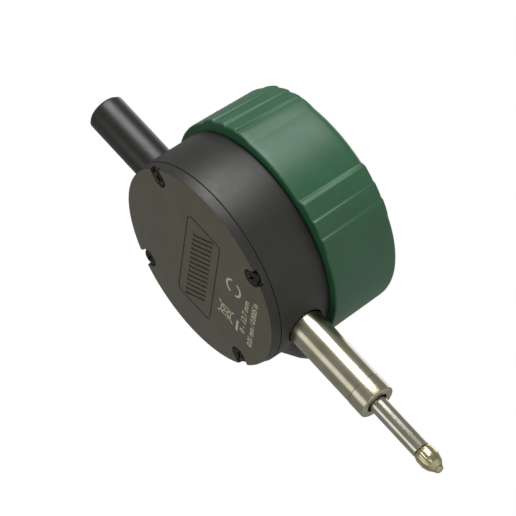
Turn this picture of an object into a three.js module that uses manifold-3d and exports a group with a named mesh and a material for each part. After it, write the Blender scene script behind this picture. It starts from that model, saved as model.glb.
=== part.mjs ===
// Electronic dial indicator, 12.7 mm travel, with a display head that turns on its housing.
//
// Frame: millimetres, +Z up. The origin is on the stem axis, half way along the visible stem.
// The stem and spindle point down, the display faces -Y and the back cover faces +Y.
// Pieces of the round case are drawn in the dial frame: its origin is the centre of the back face,
// x to the right seen from the front, y up along the spindle, z from the back cover to the display.

import * as THREE from 'three';
import { mergeVertices } from 'three/addons/utils/BufferGeometryUtils.js';
import Module from 'manifold-3d';

const wasm = await Module();
wasm.setup();

// ---------- driving sizes ----------
const GAP = 0.3; // clearance between pieces that touch or fit into each other
const WALL = 1.8; // housing side wall

// spindle, stem and contact point
const SPINDLE_D = 4.5;
const TRAVEL = 12.7;
const SPINDLE_SHOWN = 15.8; // from the stem's end to the contact point, at rest
const STEM_D = 9.525;
const STEM_LENGTH = 26; // visible, from the housing wall down
const STEM_RELIEF = 0.07; // the stem above its gauging end is this much smaller in radius
const STEM_END_BAND = 4.8;
const STEM_LIP_BORE_D = 5.7;
const CONTACT_D = 5.2;
const CONTACT_LENGTH = 6.5;
const CONTACT_KNURL = 2.9;
const CONTACT_FLUTES = 14;
const SLEEVE_D = 9.82;
const SLEEVE_SHOWN = 21.3; // above the housing wall
const SLEEVE_WALL = 1.4;

// housing and back cover
const HOUSING_D = 54.3;
const HOUSING_DEPTH = 17.1; // from the back face to the front of the housing's front wall
const COVER_T = 2.5;
const COVER_DRAFT = 0.5;
const STEM_DEPTH = 10; // stem axis, from the back face
const FRONT_WALL = 2;
const SCREW_CIRCLE_R = 24;
const COVER_SCREW_ANGLES = [45, 135, 225, 315];
const SCREW_HEAD_D = 4.2;
const SCREW_SHANK_D = 1.9;
const SCREW_POCKET_DEPTH = 1.3;
const BLOCK_FACE_Y = HOUSING_D / 2 - 7.15; // inner faces of the stem block and of the sleeve block
const NECK_D = 26;
const NECK_BORE_D = 18.8;

// port boss
const PORT_ANGLE = -65; // degrees from +x in the dial frame
const PORT_RISE = 5.4; // above the housing wall
const PORT_WIDTH = 11;

// display head
const HEAD_DEPTH = 20;
const PANEL_R_REAR = 29.2;
const PANEL_R_FRONT = 28.7;
const PAD_R_REAR = 30.5;
const PAD_R_FRONT = 29.1;
const FRONT_ROUND = 2.3;
const HEAD_REAR_WALL = 2;
const HEAD_BORE_D = 49.2;
const FACE_D = 51.2;
const FACE_T = 2;
const FACE_RECESS = 1.2;
const WINDOW_W = 33;
const WINDOW_H = 14;
const WINDOW_Y = 6.5;
const HEAD_TURN = 270; // degrees, all told

// controls and battery
const BUTTON_D = 7;
const BUTTON_TRAVEL = 0.5;
const BUTTON_PROUD = 0.8;
const BUTTONS = { button_power: [-11, -11], button_zero: [0, -13.5], button_unit: [11, -11] };
const CELL_D = 20;
const CELL_T = 3.2;
const BOARD_T = 1;

// ---------- sizes that follow ----------
const housingR = HOUSING_D / 2;
const innerR = housingR - WALL;
const stemR = STEM_D / 2;
const spindleR = SPINDLE_D / 2;
const boreR = spindleR + GAP;
const dialHeight = housingR + STEM_LENGTH / 2; // dial centre above the origin
const stemEnd = -STEM_LENGTH / 2;
const contactTop = stemEnd - SPINDLE_SHOWN;
const contactTip = contactTop - CONTACT_LENGTH;
const wallTop = dialHeight + housingR;
const sleeveEnd = wallTop + SLEEVE_SHOWN;
const wallInner = HOUSING_DEPTH - FRONT_WALL; // inner face of the housing's front wall
const headRear = HOUSING_DEPTH + GAP;
const headFront = headRear + HEAD_DEPTH;
const headFloor = headRear + HEAD_REAR_WALL;
const faceFront = headFront - FACE_RECESS;
const faceRear = faceFront - FACE_T;
const neckEnd = headFloor + 0.2;
const ringZ = neckEnd + GAP; // retaining ring
const RING_T = 1.2;
const ringFront = ringZ + RING_T;
const RING_SCREW_HEAD = 0.7;
const FRONT_SCREW_HEAD_R = 1.4;
const trayZ = ringFront + GAP + RING_SCREW_HEAD + GAP;
const TRAY_FLOOR = 0.7;
const cellZ = trayZ + TRAY_FLOOR + GAP;
const trayFront = cellZ + CELL_T;
const boardZ = trayFront + 1.6;
const lcdZ = faceRear - GAP - 2.4;
const outer = PAD_R_REAR + 10; // past the outside of everything round

// ---------- shape helpers ----------
const degrees = (angle) => THREE.MathUtils.degToRad(angle);

function toManifold(geometry) {
  const plain = geometry.clone();
  plain.deleteAttribute('normal');
  plain.deleteAttribute('uv');
  const merged = mergeVertices(plain, 1e-5);
  const vertices = merged.attributes.position.array;
  const index = Array.from(merged.index.array);
  const triangles = [];
  for (let i = 0; i < index.length; i += 3) {
    const [a, b, c] = [index[i], index[i + 1], index[i + 2]];
    if (a !== b && b !== c && c !== a) triangles.push(a, b, c);
  }
  if (signedVolume(vertices, triangles) < 0) triangles.reverse();
  return new wasm.Manifold(new wasm.Mesh({
    numProp: 3,
    vertProperties: new Float32Array(vertices),
    triVerts: new Uint32Array(triangles),
  }));
}

function signedVolume(vertices, triangles) {
  const point = (i) => new THREE.Vector3().fromArray(vertices, 3 * i);
  let sum = 0;
  for (let i = 0; i < triangles.length; i += 3) {
    const [a, b, c] = [triangles[i], triangles[i + 1], triangles[i + 2]].map(point);
    sum += a.dot(b.cross(c));
  }
  return sum / 6;
}

function toGeometry(solid) {
  const mesh = solid.getMesh();
  const geometry = new THREE.BufferGeometry();
  const count = mesh.numProp;
  const positions = new Float32Array((mesh.vertProperties.length / count) * 3);
  for (let i = 0; i < positions.length / 3; i += 1) {
    for (let k = 0; k < 3; k += 1) positions[3 * i + k] = mesh.vertProperties[count * i + k];
  }
  geometry.setAttribute('position', new THREE.BufferAttribute(positions, 3));
  geometry.setIndex(new THREE.BufferAttribute(new Uint32Array(mesh.triVerts), 1));
  geometry.computeVertexNormals();
  return geometry;
}

// A solid of revolution about z from [radius, z] points.
function turned(points, segments = 48) {
  const profile = points.map(([r, z]) => new THREE.Vector2(r, z));
  if (profile[0].x > 0) profile.push(profile[0].clone());
  const geometry = new THREE.LatheGeometry(profile, segments);
  geometry.rotateX(Math.PI / 2);
  return toManifold(geometry);
}

function rod(radius, z0, z1, x = 0, y = 0, segments = 24) {
  const geometry = new THREE.CylinderGeometry(radius, radius, z1 - z0, segments);
  geometry.rotateX(Math.PI / 2).translate(x, y, (z0 + z1) / 2);
  return toManifold(geometry);
}

function ring(rIn, rOut, z0, z1, segments = 40) {
  return turned([[rIn, z0], [rOut, z0], [rOut, z1], [rIn, z1]], segments);
}

function block(x0, x1, y0, y1, z0, z1) {
  const geometry = new THREE.BoxGeometry(x1 - x0, y1 - y0, z1 - z0);
  geometry.translate((x0 + x1) / 2, (y0 + y1) / 2, (z0 + z1) / 2);
  return toManifold(geometry);
}

function slab(outline, z0, z1) {
  const shape = new THREE.Shape(outline.map(([x, y]) => new THREE.Vector2(x, y)));
  const geometry = new THREE.ExtrudeGeometry(shape, { depth: z1 - z0, bevelEnabled: false });
  geometry.translate(0, 0, z0);
  return toManifold(geometry);
}

// A rod along the dial frame's y, used where the spindle and stem pass through the case.
function crossRod(radius, y0, y1, segments = 32) {
  const geometry = new THREE.CylinderGeometry(radius, radius, y1 - y0, segments);
  geometry.translate(0, (y0 + y1) / 2, STEM_DEPTH);
  return toManifold(geometry);
}

// A sector of a disc between two angles, from radius r0 out to r1.
function sectorOutline(a0, a1, r0, r1, steps = 3) {
  const at = (r, a) => [r * Math.cos(degrees(a)), r * Math.sin(degrees(a))];
  const points = [];
  for (let i = 0; i <= steps; i += 1) points.push(at(r1, a0 + ((a1 - a0) * i) / steps));
  for (let i = steps; i >= 0; i -= 1) points.push(at(r0, a0 + ((a1 - a0) * i) / steps));
  return points;
}

const polar = (r, angle) => [r * Math.cos(degrees(angle)), r * Math.sin(degrees(angle))];

// ---------- materials ----------
const finish = (color, roughness, metalness) =>
  new THREE.MeshStandardMaterial({ color, roughness, metalness });
const blackPlastic = finish('#33332f', 0.5, 0);
const coverPlastic = finish('#57554b', 0.55, 0);
const greenPlastic = finish('#2f6447', 0.4, 0);
const darkPlastic = finish('#26282a', 0.45, 0);
const steel = finish('#c9c7bd', 0.18, 1);
const contactMetal = finish('#c4bd97', 0.2, 1);
const screwSteel = finish('#3a3a38', 0.4, 1);
const brass = finish('#b99a55', 0.35, 1);
const rubber = finish('#1d1d1d', 0.8, 0);
const boardGreen = finish('#1f5a34', 0.5, 0);
const glass = finish('#9fb0a0', 0.08, 0);
const scaleCopper = finish('#b77f45', 0.35, 1);
const silicone = finish('#b9b7ae', 0.7, 0);
const buttonPlastic = finish('#c8641e', 0.45, 0);

// ---------- the two frames ----------
const indicator = new THREE.Group();
const dial = new THREE.Group();
dial.rotation.x = Math.PI / 2;
dial.position.set(0, STEM_DEPTH, dialHeight);
indicator.add(dial);

function place(group, name, solid, material) {
  const mesh = new THREE.Mesh(toGeometry(solid), material);
  mesh.name = name;
  group.add(mesh);
}

// ---------- housing ----------
const postR = SCREW_HEAD_D / 2 + 0.5;
const blockHalf = stemR + 2.9;

function portBoss() {
  const half = PORT_WIDTH / 2;
  const rise = PORT_RISE;
  const flareStart = COVER_T + 4.4;
  const flareEnd = flareStart + 4.5;
  const profile = [
    [housingR - 4, flareStart - 2], [housingR - 0.4, flareStart], [housingR + 0.3 * rise, flareStart + 1.4],
    [housingR + 0.85 * rise, flareEnd - 1.6], [housingR + rise, flareEnd],
    [housingR + rise, HOUSING_DEPTH], [housingR - 4, HOUSING_DEPTH],
  ];
  const shape = new THREE.Shape(profile.map(([r, z]) => new THREE.Vector2(r, z)));
  const geometry = new THREE.ExtrudeGeometry(shape, { depth: PORT_WIDTH, bevelEnabled: false });
  geometry.translate(0, 0, -half).rotateX(Math.PI / 2).rotateZ(degrees(PORT_ANGLE));
  return toManifold(geometry);
}

// A block that points out along the port's direction: radial r0..r1, half width w, depth z0..z1.
function portBlock(r0, r1, w, z0, z1) {
  const geometry = new THREE.BoxGeometry(r1 - r0, 2 * w, z1 - z0);
  geometry.translate((r0 + r1) / 2, 0, (z0 + z1) / 2).rotateZ(degrees(PORT_ANGLE));
  return toManifold(geometry);
}

const portFace = housingR + PORT_RISE;
const PORT_MOUTH = { halfWidth: 3.3, depth: 3, z0: HOUSING_DEPTH - 3.2, z1: HOUSING_DEPTH - 1 };
const PLUG_LIP = 0.6; // how far the plug's flange reaches past the port's mouth

const ringScrewAngles = [30, 150, 270];
const ringScrewR = (NECK_D + NECK_BORE_D) / 4;
const RING_SCREW_R = 0.7; // shanks of the ring's and the display's screws
const BOARD_SCREW_R = 0.6;
const boardScrews = [-1, 1].map((side) => [0.44 * innerR * side, 0.4 * innerR]);
const POST_R = 1;
const SPRING_X = 9;
const SPRING_POST_Y = -(BLOCK_FACE_Y - 1.1);
const STOP_PIN_R = 0.9;
const STOP_PIN_AT = NECK_D / 2 + 6;

function housing() {
  let body = rod(housingR, COVER_T + GAP, HOUSING_DEPTH, 0, 0, 72);
  body = body.add(portBoss());
  body = body.subtract(rod(innerR, COVER_T, wallInner, 0, 0, 72));
  const outside = rod(housingR - 0.5, COVER_T + GAP, HOUSING_DEPTH, 0, 0, 72);
  for (const side of [-1, 1]) {
    const [y0, y1] = side < 0 ? [-housingR, -BLOCK_FACE_Y] : [BLOCK_FACE_Y, housingR];
    const support = block(-blockHalf, blockHalf, y0, y1, COVER_T + 1.3, wallInner + 0.5);
    body = body.add(support.intersect(outside));
  }
  for (const angle of COVER_SCREW_ANGLES) {
    const [x, y] = polar(SCREW_CIRCLE_R, angle);
    body = body.add(rod(postR, COVER_T + GAP, wallInner + 0.5, x, y, 16).intersect(outside));
  }
  body = body.add(rod(NECK_D / 2, HOUSING_DEPTH - 1, neckEnd, 0, 0, 48));
  body = body.subtract(rod(NECK_BORE_D / 2, wallInner - 1, neckEnd + 1, 0, 0, 48));
  body = body.subtract(crossRod(stemR + GAP, -outer, -BLOCK_FACE_Y + 1));
  body = body.subtract(crossRod(SLEEVE_D / 2 + GAP, BLOCK_FACE_Y - 1, outer));
  for (const angle of COVER_SCREW_ANGLES) {
    const [x, y] = polar(SCREW_CIRCLE_R, angle);
    body = body.subtract(rod(SCREW_SHANK_D / 2 + GAP, COVER_T, COVER_T + 7.5, x, y, 12));
  }
  for (const angle of ringScrewAngles) {
    const [x, y] = polar(ringScrewR, angle);
    body = body.subtract(rod(RING_SCREW_R + GAP, neckEnd - 2.6, neckEnd + 1, x, y, 12));
  }
  for (const [x, y] of boardScrews) {
    body = body.subtract(rod(BOARD_SCREW_R + GAP, wallInner - 1, wallInner + 1.2, x, y, 12));
  }
  body = body.subtract(rod(POST_R + GAP, wallInner - 1, wallInner + 1.4, SPRING_X, SPRING_POST_Y, 16));
  body = body.subtract(rod(STOP_PIN_R + GAP, wallInner - 1, HOUSING_DEPTH + 1, 0, -STOP_PIN_AT, 16));
  const mouth = PORT_MOUTH;
  body = body.subtract(portBlock(portFace - mouth.depth, portFace + 2, mouth.halfWidth, mouth.z0, mouth.z1));
  return body;
}

function backCover() {
  const rim = housingR - 0.15;
  let cover = turned([[0, 0], [rim - COVER_DRAFT, 0], [rim, COVER_T - 0.4], [rim, COVER_T], [0, COVER_T]], 72);
  for (const angle of COVER_SCREW_ANGLES) {
    const [x, y] = polar(SCREW_CIRCLE_R, angle);
    cover = cover.subtract(rod(SCREW_HEAD_D / 2 + GAP, -1, SCREW_POCKET_DEPTH, x, y, 20));
    cover = cover.subtract(rod(SCREW_SHANK_D / 2 + GAP, 0, COVER_T + 1, x, y, 12));
  }
  return cover;
}

// A pan-head screw that points along +z from its head; the cross recess is cut into the head.
function crossHeadScrew(x, y, top, headD, headT, shankR, length) {
  const head = headD / 2;
  const arm = 0.3 * headD;
  const slot = 0.055 * headD;
  const seat = top + headT;
  let screw = turned([
    [0, top], [0.72 * head, top], [head, top + 0.35 * headT], [head, seat],
    [shankR, seat], [shankR, seat + length], [0, seat + length],
  ], 16);
  screw = screw.subtract(block(-arm, arm, -slot, slot, top - 1, top + 0.55 * headT));
  screw = screw.subtract(block(-slot, slot, -arm, arm, top - 1, top + 0.55 * headT));
  return screw.translate([x, y, 0]);
}

function addCoverScrews() {
  COVER_SCREW_ANGLES.forEach((angle, i) => {
    const [x, y] = polar(SCREW_CIRCLE_R, angle);
    const screw = crossHeadScrew(x, y, 0.1, SCREW_HEAD_D, SCREW_POCKET_DEPTH - GAP - 0.1, SCREW_SHANK_D / 2, 7);
    place(dial, `cover_screw_${i + 1}`, screw, screwSteel);
  });
}

// ---------- stem, bushes and sleeve ----------
const stemTop = dialHeight - BLOCK_FACE_Y + 2.2;
const bushR = 3.3;
const stemBoreR = bushR + GAP;

function stem() {
  const bandTop = stemEnd + STEM_END_BAND;
  const relief = stemR - STEM_RELIEF;
  const lip = STEM_LIP_BORE_D / 2;
  const tube = turned([
    [lip, stemEnd], [stemR - 0.5, stemEnd], [stemR, stemEnd + 0.45], [stemR, bandTop], [relief, bandTop],
    [relief, stemTop], [stemBoreR, stemTop], [stemBoreR, stemEnd + 2], [lip, stemEnd + 2],
  ], 40);
  // the flange that rests on the stem block has a flat beside the housing's front wall
  const flangeR = stemR + 1.6;
  const flatY = STEM_DEPTH - wallInner + GAP;
  const flange = ring(stemBoreR + 0.2, flangeR, dialHeight - BLOCK_FACE_Y + GAP, stemTop, 40);
  return tube.add(flange.intersect(block(-flangeR - 1, flangeR + 1, flatY, flangeR + 1, -outer, outer)));
}

const sleeveBase = dialHeight + BLOCK_FACE_Y + 2.3;

function sleeve() {
  const r = SLEEVE_D / 2;
  const hollow = r - SLEEVE_WALL;
  return turned([
    [hollow, sleeveBase], [r, sleeveBase], [r, sleeveEnd - 0.8], [r - 0.8, sleeveEnd], [0, sleeveEnd],
    [0, sleeveEnd - 1.5], [hollow, sleeveEnd - 1.5], [hollow, sleeveBase],
  ], 40);
}

function addStemGroup() {
  place(indicator, 'stem', stem(), steel);
  place(indicator, 'sleeve', sleeve(), blackPlastic);
  place(indicator, 'bush_lower', ring(boreR, bushR, stemEnd + 2 + GAP, stemEnd + 11, 24), brass);
  const upper = ring(boreR, SLEEVE_D / 2, dialHeight + BLOCK_FACE_Y + GAP, sleeveBase - GAP, 28);
  place(indicator, 'bush_upper', upper, brass);
}

// ---------- spindle ----------
const spindleTop = sleeveEnd - 1.5 - TRAVEL - 0.8;
const TIP_SHANK_R = 0.7;
const THREAD_R = 1.15;

function spindle() {
  return turned([
    [THREAD_R + GAP, contactTop + GAP], [spindleR - 0.2, contactTop + GAP], [spindleR, contactTop + GAP + 0.2],
    [spindleR, spindleTop - 0.4], [spindleR - 0.4, spindleTop], [0, spindleTop],
    [0, contactTop + 5], [THREAD_R + GAP, contactTop + 5], [THREAD_R + GAP, contactTop + GAP],
  ], 32);
}

function contactPoint() {
  const r = CONTACT_D / 2;
  const knurlEnd = contactTop - CONTACT_KNURL;
  const coneEnd = contactTip + 0.9;
  let body = turned([
    [0, contactTop + 4], [THREAD_R, contactTop + 4], [THREAD_R, contactTop], [spindleR, contactTop],
    [r, contactTop - 0.9], [r, knurlEnd], [0.78 * r, knurlEnd - 1.8], [0.52 * r, coneEnd], [0, coneEnd],
  ], 28);
  for (let i = 0; i < CONTACT_FLUTES; i += 1) {
    const [x, y] = polar(r + 0.12, (360 * i) / CONTACT_FLUTES);
    body = body.subtract(rod(0.24, knurlEnd + 0.2, contactTop - 0.5, x, y, 4));
  }
  return body.subtract(rod(TIP_SHANK_R + GAP, coneEnd - 1, coneEnd + 2, 0, 0, 12));
}

function tipInsert() {
  const coneEnd = contactTip + 0.9;
  const r = 0.5 * (CONTACT_D / 2);
  return turned([
    [0, contactTip], [0.45 * r, contactTip + 0.08], [0.8 * r, contactTip + 0.26], [r, coneEnd - GAP],
    [TIP_SHANK_R, coneEnd - GAP], [TIP_SHANK_R, coneEnd + 1.6], [0, coneEnd + 1.6],
  ], 16);
}

const carrierLow = -16;
const CARRIER_LENGTH = 12;
const CARRIER_ARM_T = 1.4; // the arm that pulls the return spring
const carrierHigh = carrierLow + CARRIER_LENGTH;
const carrierHalf = spindleR + 1.9;
const carrierFront = STEM_DEPTH + spindleR + 0.4;
const carrierBack = STEM_DEPTH - spindleR - 1.6;
const readerZ = wallInner - 1.6;
const stripZ = readerZ - GAP - 0.4;

function carrier() {
  let body = block(-carrierHalf, carrierHalf, carrierLow, carrierHigh, carrierBack, carrierFront - GAP);
  const armZ = STEM_DEPTH - 3;
  body = body.add(block(carrierHalf - 1, SPRING_X + 2, carrierHigh - CARRIER_ARM_T, carrierHigh, armZ, STEM_DEPTH + 1));
  body = body.subtract(crossRod(boreR, carrierLow - 1, carrierHigh + 1));
  const mid = (carrierLow + carrierHigh) / 2;
  body = body.subtract(rod(0.8 + GAP, carrierBack - 1, STEM_DEPTH, 0, mid, 16));
  const pinHole = new THREE.CylinderGeometry(PIN_R + GAP, PIN_R + GAP, 3, 16);
  pinHole.rotateZ(Math.PI / 2).translate(-carrierHalf, mid - 3, PIN_Z);
  return body.subtract(toManifold(pinHole).intersect(block(-9, -carrierHalf + 1.2, -20, 0, 0, 20)));
}

const PIN_R = 0.8;
const RAIL_X = -10.6;
const RAIL_W = 3.4;
const railTop = carrierHigh + TRAVEL + 6.3;
const PIN_Z = STEM_DEPTH - 2.7;

function guidePin() {
  const mid = (carrierLow + carrierHigh) / 2 - 3;
  const x1 = -carrierHalf + 0.9;
  const x0 = RAIL_X + 1.4;
  const geometry = new THREE.CylinderGeometry(PIN_R, PIN_R, x1 - x0, 16);
  geometry.rotateZ(Math.PI / 2).translate((x0 + x1) / 2, mid, PIN_Z);
  return toManifold(geometry);
}

function guideRail() {
  const slotZ = PIN_Z;
  const clear = PIN_R + 0.25;
  const body = block(RAIL_X, RAIL_X + RAIL_W, carrierLow - 2, railTop, slotZ - clear - 1.4, slotZ + clear + 1.4);
  return body.subtract(block(RAIL_X + 1, RAIL_X + RAIL_W + 1, carrierLow - 4, railTop - 1, slotZ - clear, slotZ + clear));
}

function addSpindleGroup() {
  place(indicator, 'spindle', spindle(), steel);
  place(indicator, 'contact_point', contactPoint(), contactMetal);
  place(indicator, 'tip_insert', tipInsert(), steel);
  place(dial, 'carrier', carrier(), darkPlastic);
  const mid = (carrierLow + carrierHigh) / 2;
  const clampScrew = crossHeadScrew(0, mid, carrierBack - GAP - 1, 2.6, 1, 0.8, 1.6);
  place(dial, 'carrier_screw', clampScrew, screwSteel);
  const strip = block(-carrierHalf, carrierHalf, carrierLow, carrierLow + TRAVEL + 8.8, stripZ - 0.4, stripZ + 0.1);
  place(dial, 'scale_strip', strip, scaleCopper);
  place(dial, 'guide_pin', guidePin(), steel);
  const bumperLow = stemTop + GAP;
  const bumperHigh = dialHeight + carrierLow - GAP;
  place(indicator, 'spindle_bumper', ring(boreR, boreR + 1.9, bumperLow, bumperHigh, 24), rubber);
}

// ---------- inside the housing ----------
const springLow = SPRING_POST_Y + POST_R + GAP;
const springHigh = carrierHigh - CARRIER_ARM_T - GAP;

function returnSpring() {
  const geometry = new THREE.LatheGeometry([
    new THREE.Vector2(1, springLow), new THREE.Vector2(1.7, springLow),
    new THREE.Vector2(1.7, springHigh), new THREE.Vector2(1, springHigh), new THREE.Vector2(1, springLow),
  ], 16);
  geometry.translate(SPRING_X, 0, STEM_DEPTH - 1);
  return toManifold(geometry);
}

function readerBoard() {
  let board = block(-13.5, 13.5, -14, 14, readerZ, readerZ + BOARD_T);
  for (const [x, y] of boardScrews) {
    board = board.subtract(rod(BOARD_SCREW_R + GAP, readerZ - 1, readerZ + 2, x, y, 12));
  }
  return board;
}

function addHousingInside() {
  place(dial, 'guide_rail', guideRail(), darkPlastic);
  place(dial, 'reader_board', readerBoard(), boardGreen);
  place(dial, 'reader_chip', block(6, 12, -5, 1, readerZ - GAP - 1, readerZ - GAP), darkPlastic);
  boardScrews.forEach(([x, y], i) => {
    const screw = crossHeadScrew(x, y, readerZ - GAP - 0.8, 2.2, 0.8, BOARD_SCREW_R, 2.4);
    place(dial, `board_screw_${i + 1}`, screw, screwSteel);
  });
  place(dial, 'return_spring', returnSpring(), steel);
  place(dial, 'spring_post', rod(POST_R, STEM_DEPTH - 3.2, wallInner + 1.1, SPRING_X, SPRING_POST_Y, 16), steel);
  place(dial, 'cable_coil', ring(4.6, 8.4, wallInner + GAP, neckEnd, 28), scaleCopper);
  place(dial, 'stop_pin', rod(STOP_PIN_R, wallInner + 0.2, headRear + 1.1, 0, -STOP_PIN_AT, 16), steel);
  const port = PORT_MOUTH;
  const socketR = portFace - port.depth + GAP;
  const socket = portBlock(socketR, socketR + 0.7, port.halfWidth - GAP, port.z0 + GAP, port.z1 - GAP);
  place(dial, 'port_socket', socket, scaleCopper);
}

function portCover() {
  const port = PORT_MOUTH;
  const plug = portBlock(
    portFace - 1.6, portFace + 0.6, port.halfWidth - GAP, port.z0 + GAP, port.z1 - GAP,
  );
  const lipHalf = port.halfWidth + PLUG_LIP;
  const flange = portBlock(portFace + GAP, portFace + GAP + 0.7, lipHalf, port.z0 - PLUG_LIP, port.z1 + PLUG_LIP);
  return plug.add(flange);
}

// ---------- display head ----------
// Ridges of the finger grips: each grip is three ridges, and the upper grips also have a plain shoulder.
const UPPER_GRIP = { ridges: [[133, 140], [141.6, 149], [150.6, 158]], shoulder: [158, 166] };
const LOWER_GRIP = { ridges: [[204.5, 213], [214.8, 222], [223.6, 230]], shoulder: null };

function gripRidges() {
  const padRing = turned([
    [PANEL_R_FRONT - 4, headRear], [PAD_R_REAR - 0.3, headRear], [PAD_R_REAR, headRear + 0.3],
    [PAD_R_FRONT, headFront - 0.9], [PAD_R_FRONT - 0.6, headFront - 0.2], [PANEL_R_FRONT - 4, headFront - 0.2],
  ], 90);
  let mask = null;
  for (const grip of [UPPER_GRIP, LOWER_GRIP]) {
    const bands = grip.shoulder ? [...grip.ridges, grip.shoulder] : grip.ridges;
    for (const [a0, a1] of bands) {
      for (const [b0, b1] of [[a0, a1], [180 - a1, 180 - a0]]) {
        const wedge = slab(sectorOutline(b0, b1, PANEL_R_FRONT - 3, outer), headRear - 1, headFront + 1);
        mask = mask ? mask.add(wedge) : wedge;
      }
    }
  }
  return padRing.intersect(mask);
}

function roundedFront(radius, z, round, steps = 4) {
  const points = [];
  for (let i = 0; i <= steps; i += 1) {
    const a = (Math.PI / 2) * (i / steps);
    points.push([radius - round + round * Math.cos(a), z - round + round * Math.sin(a)]);
  }
  return points;
}

const slotZ0 = trayZ - GAP;
const slotZ1 = trayFront + GAP;
const trayHalf = CELL_D / 2 + 0.9;
const standoffs = [[-20.2, -7], [20.2, -7], [0, -21.2]];
const standoffR = 2.2;
const boreHead = HEAD_BORE_D / 2;

function headShell() {
  let shell = turned([
    [boreHead - 12, headRear], [PANEL_R_REAR, headRear],
    ...roundedFront(PANEL_R_FRONT, headFront, FRONT_ROUND),
    [boreHead - 12, headFront],
  ], 90);
  shell = shell.add(gripRidges());
  shell = shell.add(rod(boreHead - 10, headRear, headFloor + 1, 0, 0, 48));
  shell = shell.subtract(rod(boreHead, headFloor, headFront + 1, 0, 0, 72));
  shell = shell.subtract(rod(FACE_D / 2 + GAP, faceRear - GAP, headFront + 1, 0, 0, 72));
  for (const [x, y] of standoffs) {
    shell = shell.add(rod(standoffR, headFloor - 0.5, boardZ - GAP, x, y, 14));
    shell = shell.subtract(rod(RING_SCREW_R + GAP, boardZ - 4, boardZ + 1, x, y, 12));
  }
  shell = shell.subtract(rod(NECK_D / 2 + 2.1, headRear - 1, headFloor + 1, 0, 0, 48));
  shell = shell.subtract(block(-trayHalf - GAP, trayHalf + GAP, 20, outer, slotZ0, slotZ1));
  const pinMargin = Math.asin((STOP_PIN_R + GAP) / STOP_PIN_AT) * (180 / Math.PI);
  const half = HEAD_TURN / 2 + pinMargin;
  const groove = sectorOutline(270 - half, 270 + half, STOP_PIN_AT - 1.2, STOP_PIN_AT + 1.2, 36);
  return shell.subtract(slab(groove, headRear - 1, headRear + 1.4));
}

function facePlate() {
  const r = FACE_D / 2;
  let plate = turned([
    [0, faceRear], [r, faceRear], [r, faceFront - 0.5], [r - 0.5, faceFront], [0, faceFront],
  ], 72);
  const w = WINDOW_W / 2;
  const h = WINDOW_H / 2;
  plate = plate.subtract(block(-w, w, WINDOW_Y - h, WINDOW_Y + h, faceRear - 1, faceFront + 1));
  for (const [x, y] of Object.values(BUTTONS)) {
    plate = plate.subtract(rod(BUTTON_D / 2 + GAP, faceRear - 1, faceFront + 1, x, y, 24));
  }
  return plate;
}

function retainingRing() {
  let body = ring(NECK_BORE_D / 2 + 0.2, NECK_D / 2 + 4.6, ringZ, ringFront, 48);
  for (const angle of ringScrewAngles) {
    const [x, y] = polar(ringScrewR, angle);
    body = body.subtract(rod(RING_SCREW_R + GAP, ringZ - 1, ringFront + 1, x, y, 12));
  }
  return body;
}

// A screw whose head faces the display and whose shank points back.
function frontScrew(x, y, seat, headT, length) {
  return turned([
    [0, seat - length], [RING_SCREW_R, seat - length], [RING_SCREW_R, seat], [FRONT_SCREW_HEAD_R, seat],
    [FRONT_SCREW_HEAD_R, seat + 0.6 * headT],
    [1, seat + headT], [0, seat + headT],
  ], 12).translate([x, y, 0]);
}

function displayBoard() {
  let board = rod(boreHead - GAP - 0.4, boardZ, boardZ + BOARD_T, 0, 0, 48);
  for (const [x, y] of standoffs) {
    board = board.subtract(rod(RING_SCREW_R + GAP, boardZ - 1, boardZ + 2, x, y, 12));
  }
  return board;
}

function button([x, y]) {
  const r = BUTTON_D / 2;
  const top = faceFront + BUTTON_PROUD;
  const skirt = faceRear - 1.2;
  return turned([
    [0, skirt - 0.6], [1.4, skirt - 0.6], [1.4, skirt], [r + 0.9, skirt], [r + 0.9, skirt + 0.6],
    [r, skirt + 0.6], [r, top - 0.6], [r - 0.3, top - 0.2], [r - 0.8, top], [0, top],
  ], 20).translate([x, y, 0]);
}

function buttonMembrane() {
  const z0 = boardZ + BOARD_T + GAP;
  const z1 = z0 + 0.8;
  let sheet = block(-16, 16, -17.6, -6.8, z0, z1);
  for (const [x, y] of Object.values(BUTTONS)) {
    sheet = sheet.add(rod(1.6, z0, faceRear - 1.8 - BUTTON_TRAVEL - GAP, x, y, 16));
  }
  return sheet;
}

function batteryTray() {
  const z0 = trayZ;
  const z1 = trayFront;
  const inner = trayInner;
  let body = block(-trayHalf, trayHalf, inner, outer, z0, z1);
  body = body.intersect(rod(PANEL_R_REAR - 0.15, z0 - 1, z1 + 1, 0, 0, 90));
  body = body.subtract(rod(CELL_D / 2 + GAP, z0 + TRAY_FLOOR, z1 + 1, 0, cellY, 40));
  return body.subtract(block(-2.6, 2.6, inner - 1, inner + TRAY_SLOT_LENGTH, z0 - 1, z1 + 1));
}

const cellY = 16;
const trayInner = cellY - CELL_D / 2 - 1.2;
const TRAY_SLOT_LENGTH = 15; // open at the inner end, for the contacts

function batteryContacts() {
  const leaf = 1.8;
  const y0 = trayInner + 1;
  const minusInner = ringScrewR + FRONT_SCREW_HEAD_R + GAP; // clears the ring screws as the head turns
  const minusOuter = trayInner + TRAY_SLOT_LENGTH - GAP;
  let minus = block(-leaf, leaf, minusInner, minusOuter, trayZ - GAP - 0.45, trayZ - GAP);
  minus = minus.add(block(-leaf, leaf, minusOuter - 2, minusOuter - 0.5, trayZ - GAP - 0.2, cellZ - GAP));
  place(dial, 'battery_contact_minus', minus, brass);
  let plus = block(-leaf, leaf, y0 + 2, y0 + 14, boardZ - GAP - 0.4, boardZ - GAP);
  plus = plus.add(block(-leaf, leaf, y0 + 9, y0 + 12, trayFront + GAP, boardZ - GAP - 0.2));
  place(dial, 'battery_contact_plus', plus, brass);
}

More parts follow.
